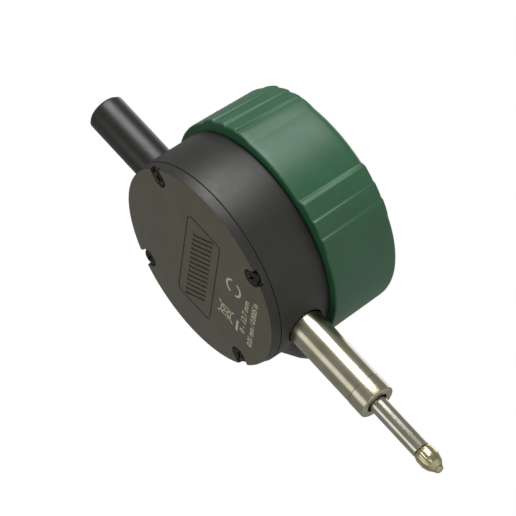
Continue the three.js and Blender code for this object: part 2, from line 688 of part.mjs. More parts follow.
function addDisplayHead() {
  place(dial, 'head_shell', headShell(), greenPlastic);
  place(dial, 'retaining_ring', retainingRing(), steel);
  ringScrewAngles.forEach((angle, i) => {
    const [x, y] = polar(ringScrewR, angle);
    place(dial, `ring_screw_${i + 1}`, frontScrew(x, y, ringFront + GAP, RING_SCREW_HEAD, 3.2), screwSteel);
  });
  place(dial, 'drag_ring', dragRing(), rubber);
  place(dial, 'face_plate', facePlate(), darkPlastic);
  const w = WINDOW_W / 2 - GAP;
  const h = WINDOW_H / 2 - GAP;
  const lens = block(-w, w, WINDOW_Y - h, WINDOW_Y + h, faceRear + 0.4, faceFront - 0.2);
  place(dial, 'window_lens', lens, glass);
  const panel = block(-w - 1.4, w + 1.4, WINDOW_Y - h - 1.8, WINDOW_Y + h + 1.8, lcdZ, faceRear - GAP);
  place(dial, 'lcd_panel', panel, silicone);
  place(dial, 'contact_strip', block(-15, 15, 13, 15, boardZ + BOARD_T + GAP, lcdZ - GAP), rubber);
  place(dial, 'display_board', displayBoard(), boardGreen);
  standoffs.forEach(([x, y], i) => {
    const screw = frontScrew(x, y, boardZ + BOARD_T + GAP, 0.8, 3.4);
    place(dial, `display_screw_${i + 1}`, screw, screwSteel);
  });
  place(dial, 'button_membrane', buttonMembrane(), silicone);
  for (const [name, at] of Object.entries(BUTTONS)) place(dial, name, button(at), buttonPlastic);
  batteryContacts();
  place(dial, 'battery_tray', batteryTray(), blackPlastic);
  place(dial, 'coin_cell', rod(CELL_D / 2, cellZ, cellZ + CELL_T, 0, cellY, 36), steel);
}

function dragRing() {
  const r = 0.65;
  const centre = NECK_D / 2 + 1.05;
  const points = [];
  for (let i = 0; i < 8; i += 1) {
    const a = (2 * Math.PI * i) / 8;
    points.push([centre + r * Math.cos(a), headRear + 1 + r * Math.sin(a)]);
  }
  return turned(points, 36);
}

// ---------- the whole indicator ----------
place(dial, 'housing', housing(), blackPlastic);
place(dial, 'back_cover', backCover(), coverPlastic);
addCoverScrews();
addStemGroup();
addHousingInside();
place(dial, 'port_cover', portCover(), rubber);
addSpindleGroup();
addDisplayHead();

export default indicator;
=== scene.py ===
# %% [markdown]
# # An electronic dial indicator, seen from behind
#
# This lesson dresses a finished engineering model of a dial indicator: a round moulded case with a
# display head that turns on it, a steel clamping stem, a sprung spindle with a contact point, and a
# black sleeve over the spindle's upper end. The engineering model is the fixed frame. It gives every
# place and size, and it moves. What Blender adds is the look: rounded edges, finger grips, screws
# with real cross recesses, print, and the finish of each material.

import math

import bmesh
import bpy
from mathutils import Matrix, Vector


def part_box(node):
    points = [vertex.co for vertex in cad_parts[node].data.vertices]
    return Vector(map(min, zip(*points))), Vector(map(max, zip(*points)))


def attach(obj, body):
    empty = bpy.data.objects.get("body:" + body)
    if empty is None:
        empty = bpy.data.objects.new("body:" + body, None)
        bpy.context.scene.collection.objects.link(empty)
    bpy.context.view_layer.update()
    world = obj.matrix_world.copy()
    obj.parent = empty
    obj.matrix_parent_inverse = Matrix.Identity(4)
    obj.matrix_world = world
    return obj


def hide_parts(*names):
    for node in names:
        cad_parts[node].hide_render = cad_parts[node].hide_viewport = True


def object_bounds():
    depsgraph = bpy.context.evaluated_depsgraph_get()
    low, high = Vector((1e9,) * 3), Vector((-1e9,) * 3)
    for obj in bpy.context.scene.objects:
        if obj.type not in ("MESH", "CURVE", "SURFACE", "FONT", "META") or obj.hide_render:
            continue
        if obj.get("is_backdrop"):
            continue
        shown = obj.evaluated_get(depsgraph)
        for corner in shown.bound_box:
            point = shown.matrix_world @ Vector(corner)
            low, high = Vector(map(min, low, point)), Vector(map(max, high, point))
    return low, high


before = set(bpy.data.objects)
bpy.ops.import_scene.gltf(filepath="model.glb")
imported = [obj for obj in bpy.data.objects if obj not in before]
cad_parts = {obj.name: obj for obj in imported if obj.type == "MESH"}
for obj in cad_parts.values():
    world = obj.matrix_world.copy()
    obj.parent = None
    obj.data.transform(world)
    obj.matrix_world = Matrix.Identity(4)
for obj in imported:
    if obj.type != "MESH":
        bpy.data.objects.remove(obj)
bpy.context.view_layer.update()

# %% [markdown]
# ## Two ways of measuring
#
# The case is round, so its pieces are easiest to draw about the dial's own axis: x to the right seen
# from the front, y up along the spindle, z from the back cover towards the display. The stem and the
# spindle are turned about the upright axis instead. Both are drawn in millimetres, and one matrix each
# puts them into the frame, in metres. All the sizes below come from the CAD nodes' boxes.

# %% The dial's axis and the stem's axis
MM = 0.001
cover_low, cover_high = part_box("back_cover")
dial_height = (cover_low.z + cover_high.z) / 2
back_y = cover_high.y
DIAL = (
    Matrix.Translation((0, back_y, dial_height))
    @ Matrix.Rotation(math.radians(90), 4, "X")
    @ Matrix.Scale(MM, 4)
)
UPRIGHT = Matrix.Scale(MM, 4)


def depth(node):
    """Where a node starts and ends along the dial's axis, in mm from the back face."""
    low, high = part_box(node)
    return (back_y - high.y) / MM, (back_y - low.y) / MM


def half_width(node):
    """Half of a node's size along x, in mm."""
    low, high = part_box(node)
    return (high.x - low.x) / 2 / MM


def rise(node):
    """A node's lowest and highest point on the upright axis, in mm."""
    low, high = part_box(node)
    return low.z / MM, high.z / MM


GAP = 0.3  # the engineering model's clearance between pieces
CLEAR = 0.25  # the clearance that is shown round pieces that fit into each other
COVER_R = half_width("back_cover")
COVER_T = depth("back_cover")[1]
CASE_R = COVER_R + 0.15
SEAM = 0.12  # between the cover and the case
CASE_REAR = COVER_T + SEAM
HEAD_REAR, HEAD_FRONT = depth("head_shell")
CASE_FRONT = HEAD_REAR - GAP
STEM_Z = back_y / MM  # the stem's axis, from the back face
DIAL_H = dial_height / MM
print(f"case R {CASE_R:.2f} mm, head from {HEAD_REAR:.2f} to {HEAD_FRONT:.2f} mm")

# %% [markdown]
# ## The camera
#
# The indicator is seen from behind and a little from below, with the picture turned so that the stem
# points to the lower right. A long lens keeps the round case close to a true ellipse.

# %% Camera
CAMERA_AT = Vector((-0.7295, 0.3477, -0.2900))
CAMERA_RIGHT = Vector((-0.08808, -0.76866, -0.63356)).normalized()
CAMERA_UP = Vector((-0.54052, -0.49737, 0.67857)).normalized()
camera_back = CAMERA_RIGHT.cross(CAMERA_UP).normalized()
camera_data = bpy.data.cameras.new("camera")
camera_data.lens = 258.6
camera_data.sensor_width = 36
camera_data.clip_start = 0.05
camera_data.clip_end = 20
camera = bpy.data.objects.new("camera", camera_data)
camera.matrix_world = Matrix.Translation(CAMERA_AT) @ Matrix(
    (
        (CAMERA_RIGHT.x, CAMERA_UP.x, camera_back.x, 0),
        (CAMERA_RIGHT.y, CAMERA_UP.y, camera_back.y, 0),
        (CAMERA_RIGHT.z, CAMERA_UP.z, camera_back.z, 0),
        (0, 0, 0, 1),
    )
)
bpy.context.scene.collection.objects.link(camera)
bpy.context.scene.camera = camera
print("camera looks along", [round(v, 3) for v in -camera_back])

# %% [markdown]
# ## Material tools
#
# Every finish is a small node tree. One function turns an sRGB hex colour into the linear values that
# Blender works with, and one adds a node with its settings and links. Patterns read Object
# coordinates, which are metres, so a pattern's scale is one over its real size in metres.


# %% Material helpers
def linear(hex_colour):
    """An sRGB hex colour as linear RGBA."""
    channels = [int(hex_colour[i : i + 2], 16) / 255 for i in (0, 2, 4)]
    return [c / 12.92 if c <= 0.04045 else ((c + 0.055) / 1.055) ** 2.4 for c in channels] + [1]


def add(tree, kind, links=(), **settings):
    """Adds a node. Settings are its properties or its inputs' values, and links are (input, socket)."""
    node = tree.nodes.new(kind)
    for name, value in settings.items():
        if name.startswith("in_"):
            node.inputs[name[3:].replace("_", " ")].default_value = value
        else:
            setattr(node, name, value)
    for name, socket in links:
        tree.links.new(socket, node.inputs[name])
    return node


def finish_of(name, colour, **sockets):
    """A new material with one Principled shader, and its Object coordinates."""
    material = bpy.data.materials.new(name)
    material.use_nodes = True
    tree = material.node_tree
    tree.nodes.clear()
    shader = add(tree, "ShaderNodeBsdfPrincipled")
    shader.inputs["Base Color"].default_value = linear(colour)
    for socket, value in sockets.items():
        shader.inputs[socket.replace("_", " ")].default_value = value
    output = add(tree, "ShaderNodeOutputMaterial")
    tree.links.new(shader.outputs[0], output.inputs[0])
    place = add(tree, "ShaderNodeTexCoord")
    return material, tree, shader, place.outputs["Object"]


def noise(tree, place, size_mm, detail=3, roughness=0.5):
    """Noise whose grains are about this many millimetres across."""
    return add(
        tree,
        "ShaderNodeTexNoise",
        [("Vector", place)],
        in_Scale=1 / (size_mm * MM),
        in_Detail=detail,
        in_Roughness=roughness,
    ).outputs[0]


def mottled(tree, shader, pattern, dark, light, low=0.35, high=0.65):
    """The base colour goes from dark to light as the pattern goes from low to high."""
    ramp = add(tree, "ShaderNodeValToRGB", [("Fac", pattern)])
    ramp.color_ramp.elements[0].position = low
    ramp.color_ramp.elements[1].position = high
    ramp.color_ramp.elements[0].color = linear(dark)
    ramp.color_ramp.elements[1].color = linear(light)
    tree.links.new(ramp.outputs[0], shader.inputs["Base Color"])


def uneven_gloss(tree, shader, pattern, smooth, rough):
    """The roughness goes from smooth to rough with the pattern."""
    spread = add(
        tree,
        "ShaderNodeMapRange",
        [("Value", pattern)],
        in_From_Min=0.3,
        in_From_Max=0.7,
        in_To_Min=smooth,
        in_To_Max=rough,
    )
    tree.links.new(spread.outputs[0], shader.inputs["Roughness"])


def bumped(tree, shader, pattern, height_mm, strength=1.0):
    """A relief this many millimetres high."""
    bump = add(
        tree, "ShaderNodeBump", [("Height", pattern)], in_Strength=strength, in_Distance=height_mm * MM
    )
    tree.links.new(bump.outputs[0], shader.inputs["Normal"])
    return bump


# %% [markdown]
# ## Moulded plastics
#
# The case is glass-filled nylon, moulded in a spark-eroded tool: it has a fine even grain that spreads
# the light into a wide soft sheen. The back cover has the same grain and a browner grey. The display
# head is ABS from a polished tool: smoother, so its sheen is tighter and the green stays clean. The
# real grain is about 0.05 mm across, and it is drawn a few times coarser so that it still shows.


# %% Case, cover and head plastics
def moulded(name, dark, light, smooth, rough, grain_mm, grain_height_mm, specular=0.5):
    """Plastic from a mould: a cloudy tone, a grain, and gloss that varies a little."""
    material, tree, shader, place = finish_of(name, dark, IOR=1.49, Specular_IOR_Level=specular)
    mottled(tree, shader, noise(tree, place, 9, 4), dark, light)
    uneven_gloss(tree, shader, noise(tree, place, 2.5, 5), smooth, rough)
    bumped(tree, shader, noise(tree, place, grain_mm, 2), grain_height_mm)
    return material


case_nylon = moulded("black nylon, spark-eroded grain", "20201d", "252421", 0.44, 0.50, 0.30, 0.006)
cover_nylon = moulded("grey nylon, fine grain", "524f41", "575444", 0.44, 0.50, 0.30, 0.005)
sleeve_nylon = moulded("black acetal, turned", "191816", "1e1d1b", 0.36, 0.42, 0.35, 0.004)
head_abs = moulded("green ABS, semi-gloss", "265438", "2a593d", 0.38, 0.43, 0.6, 0.004)
face_abs = moulded("charcoal ABS, satin", "232628", "272a2c", 0.38, 0.46, 0.25, 0.010)
key_abs = moulded("orange ABS, satin", "b4551a", "bd5c1f", 0.36, 0.44, 0.25, 0.008)
tray_abs = moulded("dark grey ABS, satin", "2a2b2b", "303131", 0.40, 0.48, 0.25, 0.010)
inner_pom = moulded("black acetal, moulded", "1e1f20", "242526", 0.42, 0.50, 0.30, 0.010)
seal_rubber = moulded("black nitrile rubber", "181818", "1f1f1f", 0.62, 0.75, 0.30, 0.015)
key_silicone = moulded("grey silicone rubber", "a7a59b", "b2b0a6", 0.55, 0.65, 0.30, 0.012)
print("plastics:", case_nylon.name, "/", cover_nylon.name, "/", head_abs.name)

# %% [markdown]
# ## Steel, brass and copper
#
# The stem and the spindle are hardened stainless steel, ground between centres and polished. The wheel
# works round the bar, so its gloss changes along the axis and hardly at all round it. The pattern is a
# noise that is stretched flat: fast along the axis and slow round it. The contact point is turned and
# nickel plated, a little warmer. The cover screws are steel with a black oxide skin.


# %% Metals
def turned_metal(name, colour, shade, smooth, rough, ring_mm, ring_height_mm=None):
    """Metal worked on a lathe or grinder, with rings round the upright axis."""
    material, tree, shader, place = finish_of(name, colour, Metallic=1.0)
    mottled(tree, shader, noise(tree, place, 5, 4), shade, colour, 0.3, 0.6)
    flat = add(tree, "ShaderNodeMapping", [("Vector", place)], in_Scale=(0.04, 0.04, 1))
    rings = noise(tree, flat.outputs[0], ring_mm, 3, 0.6)
    uneven_gloss(tree, shader, rings, smooth, rough)
    if ring_height_mm:
        bumped(tree, shader, rings, ring_height_mm)
    return material


def plain_metal(name, colour, shade, smooth, rough, grain_mm=0.4, grain_height_mm=0.006):
    """Metal with no direction to its grain, such as stamped, plated or blasted."""
    material, tree, shader, place = finish_of(name, colour, Metallic=1.0)
    mottled(tree, shader, noise(tree, place, 3, 4), shade, colour, 0.3, 0.7)
    uneven_gloss(tree, shader, noise(tree, place, 1.2, 4), smooth, rough)
    bumped(tree, shader, noise(tree, place, grain_mm, 2), grain_height_mm)
    return material


stem_steel = turned_metal("stainless steel, ground and polished", "b5b19e", "a8a48c", 0.22, 0.25, 2)
spindle_steel = turned_metal("hardened steel, polished", "bab7aa", "b0ad9d", 0.18, 0.19, 4)
point_nickel = turned_metal("nickel plate on turned steel", "c2ba98", "b6ae88", 0.22, 0.24, 3)
screw_steel = plain_metal("black oxide on steel", "42413e", "2f2e2c", 0.34, 0.46)
plain_steel = plain_metal("stainless steel, stamped", "bdbbb3", "a9a79f", 0.24, 0.36)
bush_brass = turned_metal("leaded brass, turned", "b99a55", "a98a48", 0.22, 0.34, 0.2, 0.0015)
contact_brass = plain_metal("brass strip, stamped", "c2a25c", "ad8e4c", 0.24, 0.36)
foil_copper = plain_metal("copper foil on film", "b77f45", "a56f3a", 0.30, 0.42)
print("metals:", stem_steel.name, "/", point_nickel.name)

# %% [markdown]
# ## Board, window and ink
#
# The circuit boards are glass-epoxy with green solder mask. The window is clear acrylic over a grey
# liquid crystal. The marks on the back are printed with a cream ink, which lies on the plastic as a
# film a few hundredths of a millimetre thick.

# %% Board, window, display and ink
board_epoxy, tree, shader, place = finish_of("glass-epoxy board, green mask", "1c5230", Roughness=0.35)
mottled(tree, shader, noise(tree, place, 0.6, 2), "184a2b", "205a35")
bumped(tree, shader, noise(tree, place, 0.5, 2), 0.01)

window_acrylic, tree, shader, place = finish_of(
    "clear acrylic window", "e8eee8", IOR=1.49, Transmission_Weight=1.0, Roughness=0.04
)
bumped(tree, shader, noise(tree, place, 6, 2), 0.002)

lcd_grey, tree, shader, place = finish_of("liquid crystal, grey-green", "a3ab97", Roughness=0.3)
mottled(tree, shader, noise(tree, place, 12, 2), "9ea692", "a8b09c")

lcd_dark, tree, shader, place = finish_of("liquid crystal, dark segment", "1d211c", Roughness=0.4)
mottled(tree, shader, noise(tree, place, 3, 2), "1b1f1a", "232721")

cream_ink, tree, shader, place = finish_of("cream pad-print ink", "c9c4ac", Roughness=0.5)
mottled(tree, shader, noise(tree, place, 0.35, 3), "b5b09a", "d2cdb6")
bumped(tree, shader, noise(tree, place, 0.3, 2), 0.004)
print("ink:", cream_ink.name)

# %% [markdown]
# ## Shaping tools
#
# Almost everything here is turned or moulded round, so most pieces are a section that is spun. A
# section is a list of corners, each with its own rounding, because no real edge is quite sharp. Flat
# pieces are an outline that is extruded. Holes and joins are cut with the Boolean modifier, which is
# applied at once, so that the finished mesh is what rides in the frame.


# %% Section with rounded corners
def rounded(corners, steps=4):
    """A closed section from (a, b, radius) corners; each radius becomes an arc of that many steps."""
    points = []
    count = len(corners)
    for i, (a, b, radius) in enumerate(corners):
        corner = Vector((a, b))
        if not radius:
            points.append(corner)
            continue
        before = (Vector(corners[i - 1][:2]) - corner).normalized()
        after = (Vector(corners[(i + 1) % count][:2]) - corner).normalized()
        half = before.angle(after) / 2
        reach = radius / math.tan(half)
        centre = corner + (before + after).normalized() * (radius / math.sin(half))
        start = corner + before * reach - centre
        sweep = start.angle_signed(corner + after * reach - centre)
        for k in range(steps + 1):
            points.append(centre + Matrix.Rotation(-sweep * k / steps, 2) @ start)
    return points


# %% Spun and extruded shapes
def tidy(bm):
    """Merges doubles and makes every face point outwards."""
    bmesh.ops.remove_doubles(bm, verts=bm.verts, dist=1e-4)
    bmesh.ops.dissolve_degenerate(bm, edges=bm.edges, dist=1e-5)
    bmesh.ops.recalc_face_normals(bm, faces=bm.faces)
    return bm


WEDGE_STEPS = 48


def spun(corners, steps=128, arc_steps=4):
    """A (radius, height) section spun a full turn about z, as copies of one wedge, which is quicker."""
    bm = bmesh.new()
    section = [bm.verts.new((max(p.x, 0), 0, p.y)) for p in rounded(corners, arc_steps)]
    loop = [
        bm.edges.new((a, b))
        for a, b in zip(section, section[1:] + section[:1])
        if a.co.x > 1e-6 or b.co.x > 1e-6
    ]
    wedges = max(1, steps // WEDGE_STEPS)
    bmesh.ops.spin(
        bm,
        geom=section + loop,
        cent=(0, 0, 0),
        axis=(0, 0, 1),
        angle=math.tau / wedges,
        steps=steps // wedges,
        use_merge=wedges == 1,
    )
    loose = [v for v in bm.verts if not v.link_faces]
    bmesh.ops.delete(bm, geom=loose, context="VERTS")
    wedge = bm.verts[:] + bm.edges[:] + bm.faces[:]
    for i in range(1, wedges):
        copy = bmesh.ops.duplicate(bm, geom=wedge)["geom"]
        corners_of_copy = [v for v in copy if isinstance(v, bmesh.types.BMVert)]
        turn = Matrix.Rotation(math.tau * i / wedges, 3, "Z")
        bmesh.ops.rotate(bm, verts=corners_of_copy, cent=(0, 0, 0), matrix=turn)
    return tidy(bm)


def extruded(corners, low, high, edge=0.0, arc_steps=5):
    """An (x, y) outline extruded from low to high along z, with its top and bottom edges rounded."""
    bm = bmesh.new()
    face = bm.faces.new([bm.verts.new((p.x, p.y, low)) for p in rounded(corners, arc_steps)])
    swept = bmesh.ops.extrude_face_region(bm, geom=[face])["geom"]
    top = [v for v in swept if isinstance(v, bmesh.types.BMVert)]
    bmesh.ops.translate(bm, verts=top, vec=(0, 0, high - low))
    bmesh.ops.recalc_face_normals(bm, faces=bm.faces)
    if edge:
        rims = [e for e in bm.edges if abs(e.verts[0].co.z - e.verts[1].co.z) < 1e-6]
        bmesh.ops.bevel(
            bm,
            geom=rims,
            offset=edge,
            offset_type="OFFSET",
            affect="EDGES",
            segments=3,
            profile=0.5,
            material=-1,
        )
    return tidy(bm)


def box_corners(x0, x1, y0, y1, radius=0.0):
    """The corners of a rectangle, each with the same rounding."""
    return [(x0, y0, radius), (x1, y0, radius), (x1, y1, radius), (x0, y1, radius)]


def moved(bm, matrix):
    """The same shape, turned and shifted."""
    bmesh.ops.transform(bm, matrix=matrix, verts=bm.verts)
    return bm


def joined(*shapes):
    """Several separate shapes in one mesh."""
    whole = bmesh.new()
    for bm in shapes:
        part = bpy.data.meshes.new("part")
        bm.to_mesh(part)
        bm.free()
        whole.from_mesh(part)
        bpy.data.meshes.remove(part)
    return whole


# %% Booleans, applied at once
def scratch_object(bm):
    """A short-lived object that holds a shape."""
    mesh = bpy.data.meshes.new("scratch")
    bm.to_mesh(mesh)
    bm.free()
    made = bpy.data.objects.new("scratch", mesh)
    bpy.context.scene.collection.objects.link(made)
    return made


def combined(bm, tool, operation):
    """The shape bm with tool cut out of it (DIFFERENCE), added (UNION) or kept (INTERSECT)."""
    target, cutter = scratch_object(bm), scratch_object(tool)
    modifier = target.modifiers.new("cut", "BOOLEAN")
    modifier.operation = operation
    modifier.solver = "MANIFOLD"
    modifier.object = cutter
    evaluated = target.evaluated_get(bpy.context.evaluated_depsgraph_get())
    mesh = bpy.data.meshes.new_from_object(evaluated)
    result = bmesh.new()
    result.from_mesh(mesh)
    for scrap in (target, cutter):
        data = scrap.data
        bpy.data.objects.remove(scrap)
        bpy.data.meshes.remove(data)
    bpy.data.meshes.remove(mesh)
    bmesh.ops.remove_doubles(result, verts=result.verts, dist=1e-4)
    return result


def cut(bm, tool):
    return combined(bm, tool, "DIFFERENCE")


def fused(bm, tool):
    return combined(bm, tool, "UNION")


# %% From shape to piece
def piece(name, bm, to_frame, body, nodes, material, sharp=32):
    """Puts a shape into the frame as a named piece that rides on a body and stands for CAD nodes."""
    mesh = bpy.data.meshes.new(name)
    bmesh.ops.transform(bm, matrix=to_frame, verts=bm.verts)
    bm.to_mesh(mesh)
    bm.free()
    mesh.shade_smooth()
    mesh.set_sharp_from_angle(angle=math.radians(sharp))
    made = bpy.data.objects.new(name, mesh)
    bpy.context.scene.collection.objects.link(made)
    made.data.materials.append(material)
    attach(made, body)
    if nodes:
        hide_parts(*nodes)
    print(f"{name}: {len(mesh.polygons)} faces on {body}")
    return made


def disc_tool(radius, low, high, x=0.0, y=0.0, steps=48):
    """A plain cutting rod along z."""
    bm = bmesh.new()
    bmesh.ops.create_cone(
        bm, cap_ends=True, segments=steps, radius1=radius, radius2=radius, depth=high - low
    )
    return moved(bm, Matrix.Translation((x, y, (low + high) / 2)))


def along_spindle(radius, low, high, steps=64):
    """A cutting rod along the dial's y, on the stem's axis."""
    bm = disc_tool(radius, low, high, steps=steps)
    turn = Matrix.Rotation(math.radians(-90), 4, "X")
    return moved(bm, Matrix.Translation((0, 0, STEM_Z)) @ turn)


# %% [markdown]
# ## The case
#
# The case is one moulded cup: a straight wall, a front wall with the neck that the display head turns
# on, posts for the cover screws, and the blocks that carry the stem and the sleeve. A boss for the
# data port stands out of the wall beside the stem and sweeps up from it in a hollow curve. The cup
# is a spun section, and the boss, posts and blocks are fused to it.

# %% Case wall and neck
WALL, FRONT_WALL = 1.8, 2.0
stem_low, stem_high = rise("stem")
STEM_WALL = 1.16  # beside the lower bush
STEM_R = half_width("bush_lower") + GAP + STEM_WALL
SLEEVE_R = half_width("sleeve")
NECK_R, NECK_BORE_R = 13.0, 9.4
NECK_END = depth("retaining_ring")[0] - GAP
SCREW_R = 24.0
SCREW_ANGLES = (45, 135, 225, 315)
SCREW_PLACES = [
    (SCREW_R * math.cos(math.radians(a)), SCREW_R * math.sin(math.radians(a))) for a in SCREW_ANGLES
]

case = spun(
    [
        (CASE_R, CASE_REAR, 0.12),
        (CASE_R, CASE_FRONT, 0.4),
        (NECK_R, CASE_FRONT, 0.2),
        (NECK_R, NECK_END, 0.2),
        (NECK_BORE_R, NECK_END, 0.2),
        (NECK_BORE_R, CASE_FRONT - FRONT_WALL, 0.2),
        (CASE_R - WALL, CASE_FRONT - FRONT_WALL, 0.5),
        (CASE_R - WALL, CASE_REAR, 0.2),
    ],
    steps=192,
)


# %% Posts, blocks and the port boss
def inside_case():
    """A disc that trims what stands inside the wall."""
    return disc_tool(CASE_R - 0.5, CASE_REAR, CASE_FRONT - 0.5, steps=96)


BLOCK_FACE, BLOCK_HALF, POST_R = 20.0, 7.6, 2.6
for side in (-1, 1):
    low, high = sorted((side * (CASE_R - 1), side * BLOCK_FACE))
    block = extruded(box_corners(-BLOCK_HALF, BLOCK_HALF, low, high, 0.5), CASE_REAR + 1, CASE_FRONT - 1)
    case = fused(case, combined(block, inside_case(), "INTERSECT"))
for x, y in SCREW_PLACES:
    post = disc_tool(POST_R, CASE_REAR, CASE_FRONT - 1, x, y, 32)
    case = fused(case, combined(post, inside_case(), "INTERSECT"))

socket_low, socket_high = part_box("port_socket")
socket_middle = (socket_low + socket_high) / 2
PORT_ANGLE = math.atan2(socket_middle.z - dial_height, socket_middle.x)
PORT_HALF, PORT_RISE = 5.5, 5.4
BOSS_ROUND = 1.9
BOSS_ROOT = CASE_R - 3.5  # ends inside the wall and its post
PORT_FACE = CASE_R + PORT_RISE
boss_section = [
    (BOSS_ROOT, 6.2, 0),
    (CASE_R - 0.5, 6.2, 0.6),
    (CASE_R + 0.3, 7.8, 2.0),
    (CASE_R + 1.8, 9.2, 2.4),
    (CASE_R + 3.8, 11.0, 2.0),
    (PORT_FACE, 13.2, 1.5),
    (PORT_FACE, CASE_FRONT, 0.4),
    (BOSS_ROOT, CASE_FRONT, 0),
]
boss = extruded(boss_section, -PORT_HALF, PORT_HALF, edge=BOSS_ROUND)
port_turn = Matrix.Rotation(PORT_ANGLE, 4, "Z") @ Matrix.Rotation(math.radians(90), 4, "X")
case = fused(case, moved(boss, port_turn))

# %% Openings in the case, and the finished piece
SCREW_HOLE_R = 1.25
case = cut(case, along_spindle(STEM_R + CLEAR, -CASE_R - 9, 1 - BLOCK_FACE))
case = cut(case, along_spindle(SLEEVE_R + CLEAR, BLOCK_FACE - 1, CASE_R + 9))
for x, y in SCREW_PLACES:
    case = cut(case, disc_tool(SCREW_HOLE_R, 1, 10, x, y, 24))
MOUTH_HALF, MOUTH_LOW, MOUTH_HIGH = 3.3, CASE_FRONT - 3.2, CASE_FRONT - 1
PLUG_LIP = 0.6
MOUTH_DEPTH = 3.0
mouth_corners = box_corners(PORT_FACE - MOUTH_DEPTH, PORT_FACE + 3, MOUTH_LOW, MOUTH_HIGH)
mouth = extruded(mouth_corners, -MOUTH_HALF, MOUTH_HALF)
case = cut(case, moved(mouth, port_turn))
piece("case", case, DIAL, "housing", ["housing"], case_nylon)

# %% [markdown]
# ## The back cover
#
# The cover is a flat moulded disc, held by four screws in round pockets that break out through its
# edge. In its middle a shallow groove frames a plain hatch of slanted bars. The disc is spun, one tool
# cuts the groove, and another, made of separate bars, cuts the whole hatch at once.

# %% Cover disc and pockets
DRAFT = 0.45  # how much smaller the cover is at its back face
cover = spun(
    [(0, 0, 0), (COVER_R - DRAFT, 0, 0.16), (COVER_R, COVER_T, 0.06), (0, COVER_T, 0)],
    steps=192,
)
POCKET_R, POCKET_DEPTH = 2.45, 1.3
WAY_OUT = 2.1  # half width of the gap where a pocket breaks through the edge
for i, (x, y) in enumerate(SCREW_PLACES):
    cover = cut(cover, disc_tool(POCKET_R, -1, POCKET_DEPTH, x, y, 40))
    way_out = extruded(box_corners(SCREW_R, COVER_R + 2, -WAY_OUT, WAY_OUT), -1, POCKET_DEPTH)
    cover = cut(cover, moved(way_out, Matrix.Rotation(math.radians(SCREW_ANGLES[i]), 4, "Z")))
    cover = cut(cover, disc_tool(SCREW_HOLE_R, 0, COVER_T + 1, x, y, 24))


# %% The recessed panel and its hatch
def bar(x0, y0, x1, y1, width):
    """A straight bar between two points, as an outline."""
    along = Vector((x1 - x0, y1 - y0)).normalized()
    side = Vector((-along.y, along.x)) * width / 2
    a, b = Vector((x0, y0)), Vector((x1, y1))
    return [(p.x, p.y, 0) for p in (a - side, b - side, b + side, a + side)]


def panel(shrink, low, high):
    """The frame's rectangle, made smaller by shrink on every side."""
    x, y = PANEL_X - shrink, PANEL_Y - shrink
    return extruded(box_corners(-x, x, -y, y, PANEL_CORNER - shrink), low, high)


PANEL_X, PANEL_Y, PANEL_CORNER = 16.0, 6.1, 1.8
GROOVE_WIDTH, GROOVE_DEPTH = 0.5, 0.22
cover = cut(cover, cut(panel(0, -1, GROOVE_DEPTH), panel(GROOVE_WIDTH, -2, 1)))
HATCH_BARS, HATCH_START, HATCH_STEP = 14, -12.4, 1.9
HATCH_SLANT, HATCH_HALF, HATCH_WIDTH, HATCH_DEPTH = 2.3, 3.4, 0.8, 0.3
hatch = []
for i in range(HATCH_BARS):
    x = HATCH_START + HATCH_STEP * i
    outline = bar(x - HATCH_SLANT, -HATCH_HALF, x + HATCH_SLANT, HATCH_HALF, HATCH_WIDTH)
    hatch.append(extruded(outline, -1, HATCH_DEPTH))
cover = cut(cover, joined(*hatch))
cover_piece = piece("cover", cover, DIAL, "housing", ["back_cover"], cover_nylon)
# Painted shade: the cover is one grey moulding, but the faces round its edge get the case's darker black
# nylon, which stands in for the shade on that side wall.
cover_piece.data.materials.append(case_nylon)
for face in cover_piece.data.polygons:
    from_axis = math.hypot(face.center.x, face.center.z - dial_height)
    if abs(face.normal.y) < 0.7 and from_axis > (COVER_R - 1) * MM:
        face.material_index = 1  # painted shade: the grey cover's edge gets the darker case plastic

# %% [markdown]
# ## The print on the cover
#
# Two plain symbols and two rows that state the range and the reading step. Ink is a film, so each
# mark is a thin slab that stands 0.02 mm proud of the plastic. Seen from behind, x runs to the left, so
# letters are mirrored in the dial's frame. Blender's own font is turned to a mesh before it is placed.

# %% Printed symbols
INK_TOP, INK_ROOT = -0.02, 0.05


def arc_band(x, y, radius, width, start, end, steps=20):
    """An open ring, as an outline."""
    angles = [math.radians(start + (end - start) * i / steps) for i in range(steps + 1)]
    far, near = radius + width / 2, radius - width / 2
    outward = [(x + far * math.cos(a), y + far * math.sin(a), 0) for a in angles]
    inward = [(x + near * math.cos(a), y + near * math.sin(a), 0) for a in reversed(angles)]
    return outward + inward


RING_X, RING_Y, RING_R, RING_WIDTH = -6.5, -12.0, 2.4, 0.6
split_ring = [
    arc_band(RING_X, RING_Y, RING_R, RING_WIDTH, start, start + 140) for start in (20, 200)
]
base_line = box_corners(4.0, 8.2, -15.3, -14.6)
cross = [bar(3.0, -8.0, 7.6, -13.4, 0.42), bar(7.6, -8.0, 3.0, -13.4, 0.42)]
x0, x1, y0, y1 = 3.6, 7.0, -12.4, -9.0
sides = ((x0, y0, x1, y0), (x0, y1, x1, y1), (x0, y0, x0, y1), (x1, y0, x1, y1))
square = [bar(*ends, 0.34) for ends in sides]
symbols = [
    extruded(outline, INK_TOP, INK_ROOT) for outline in (*split_ring, base_line, *cross, *square)
]


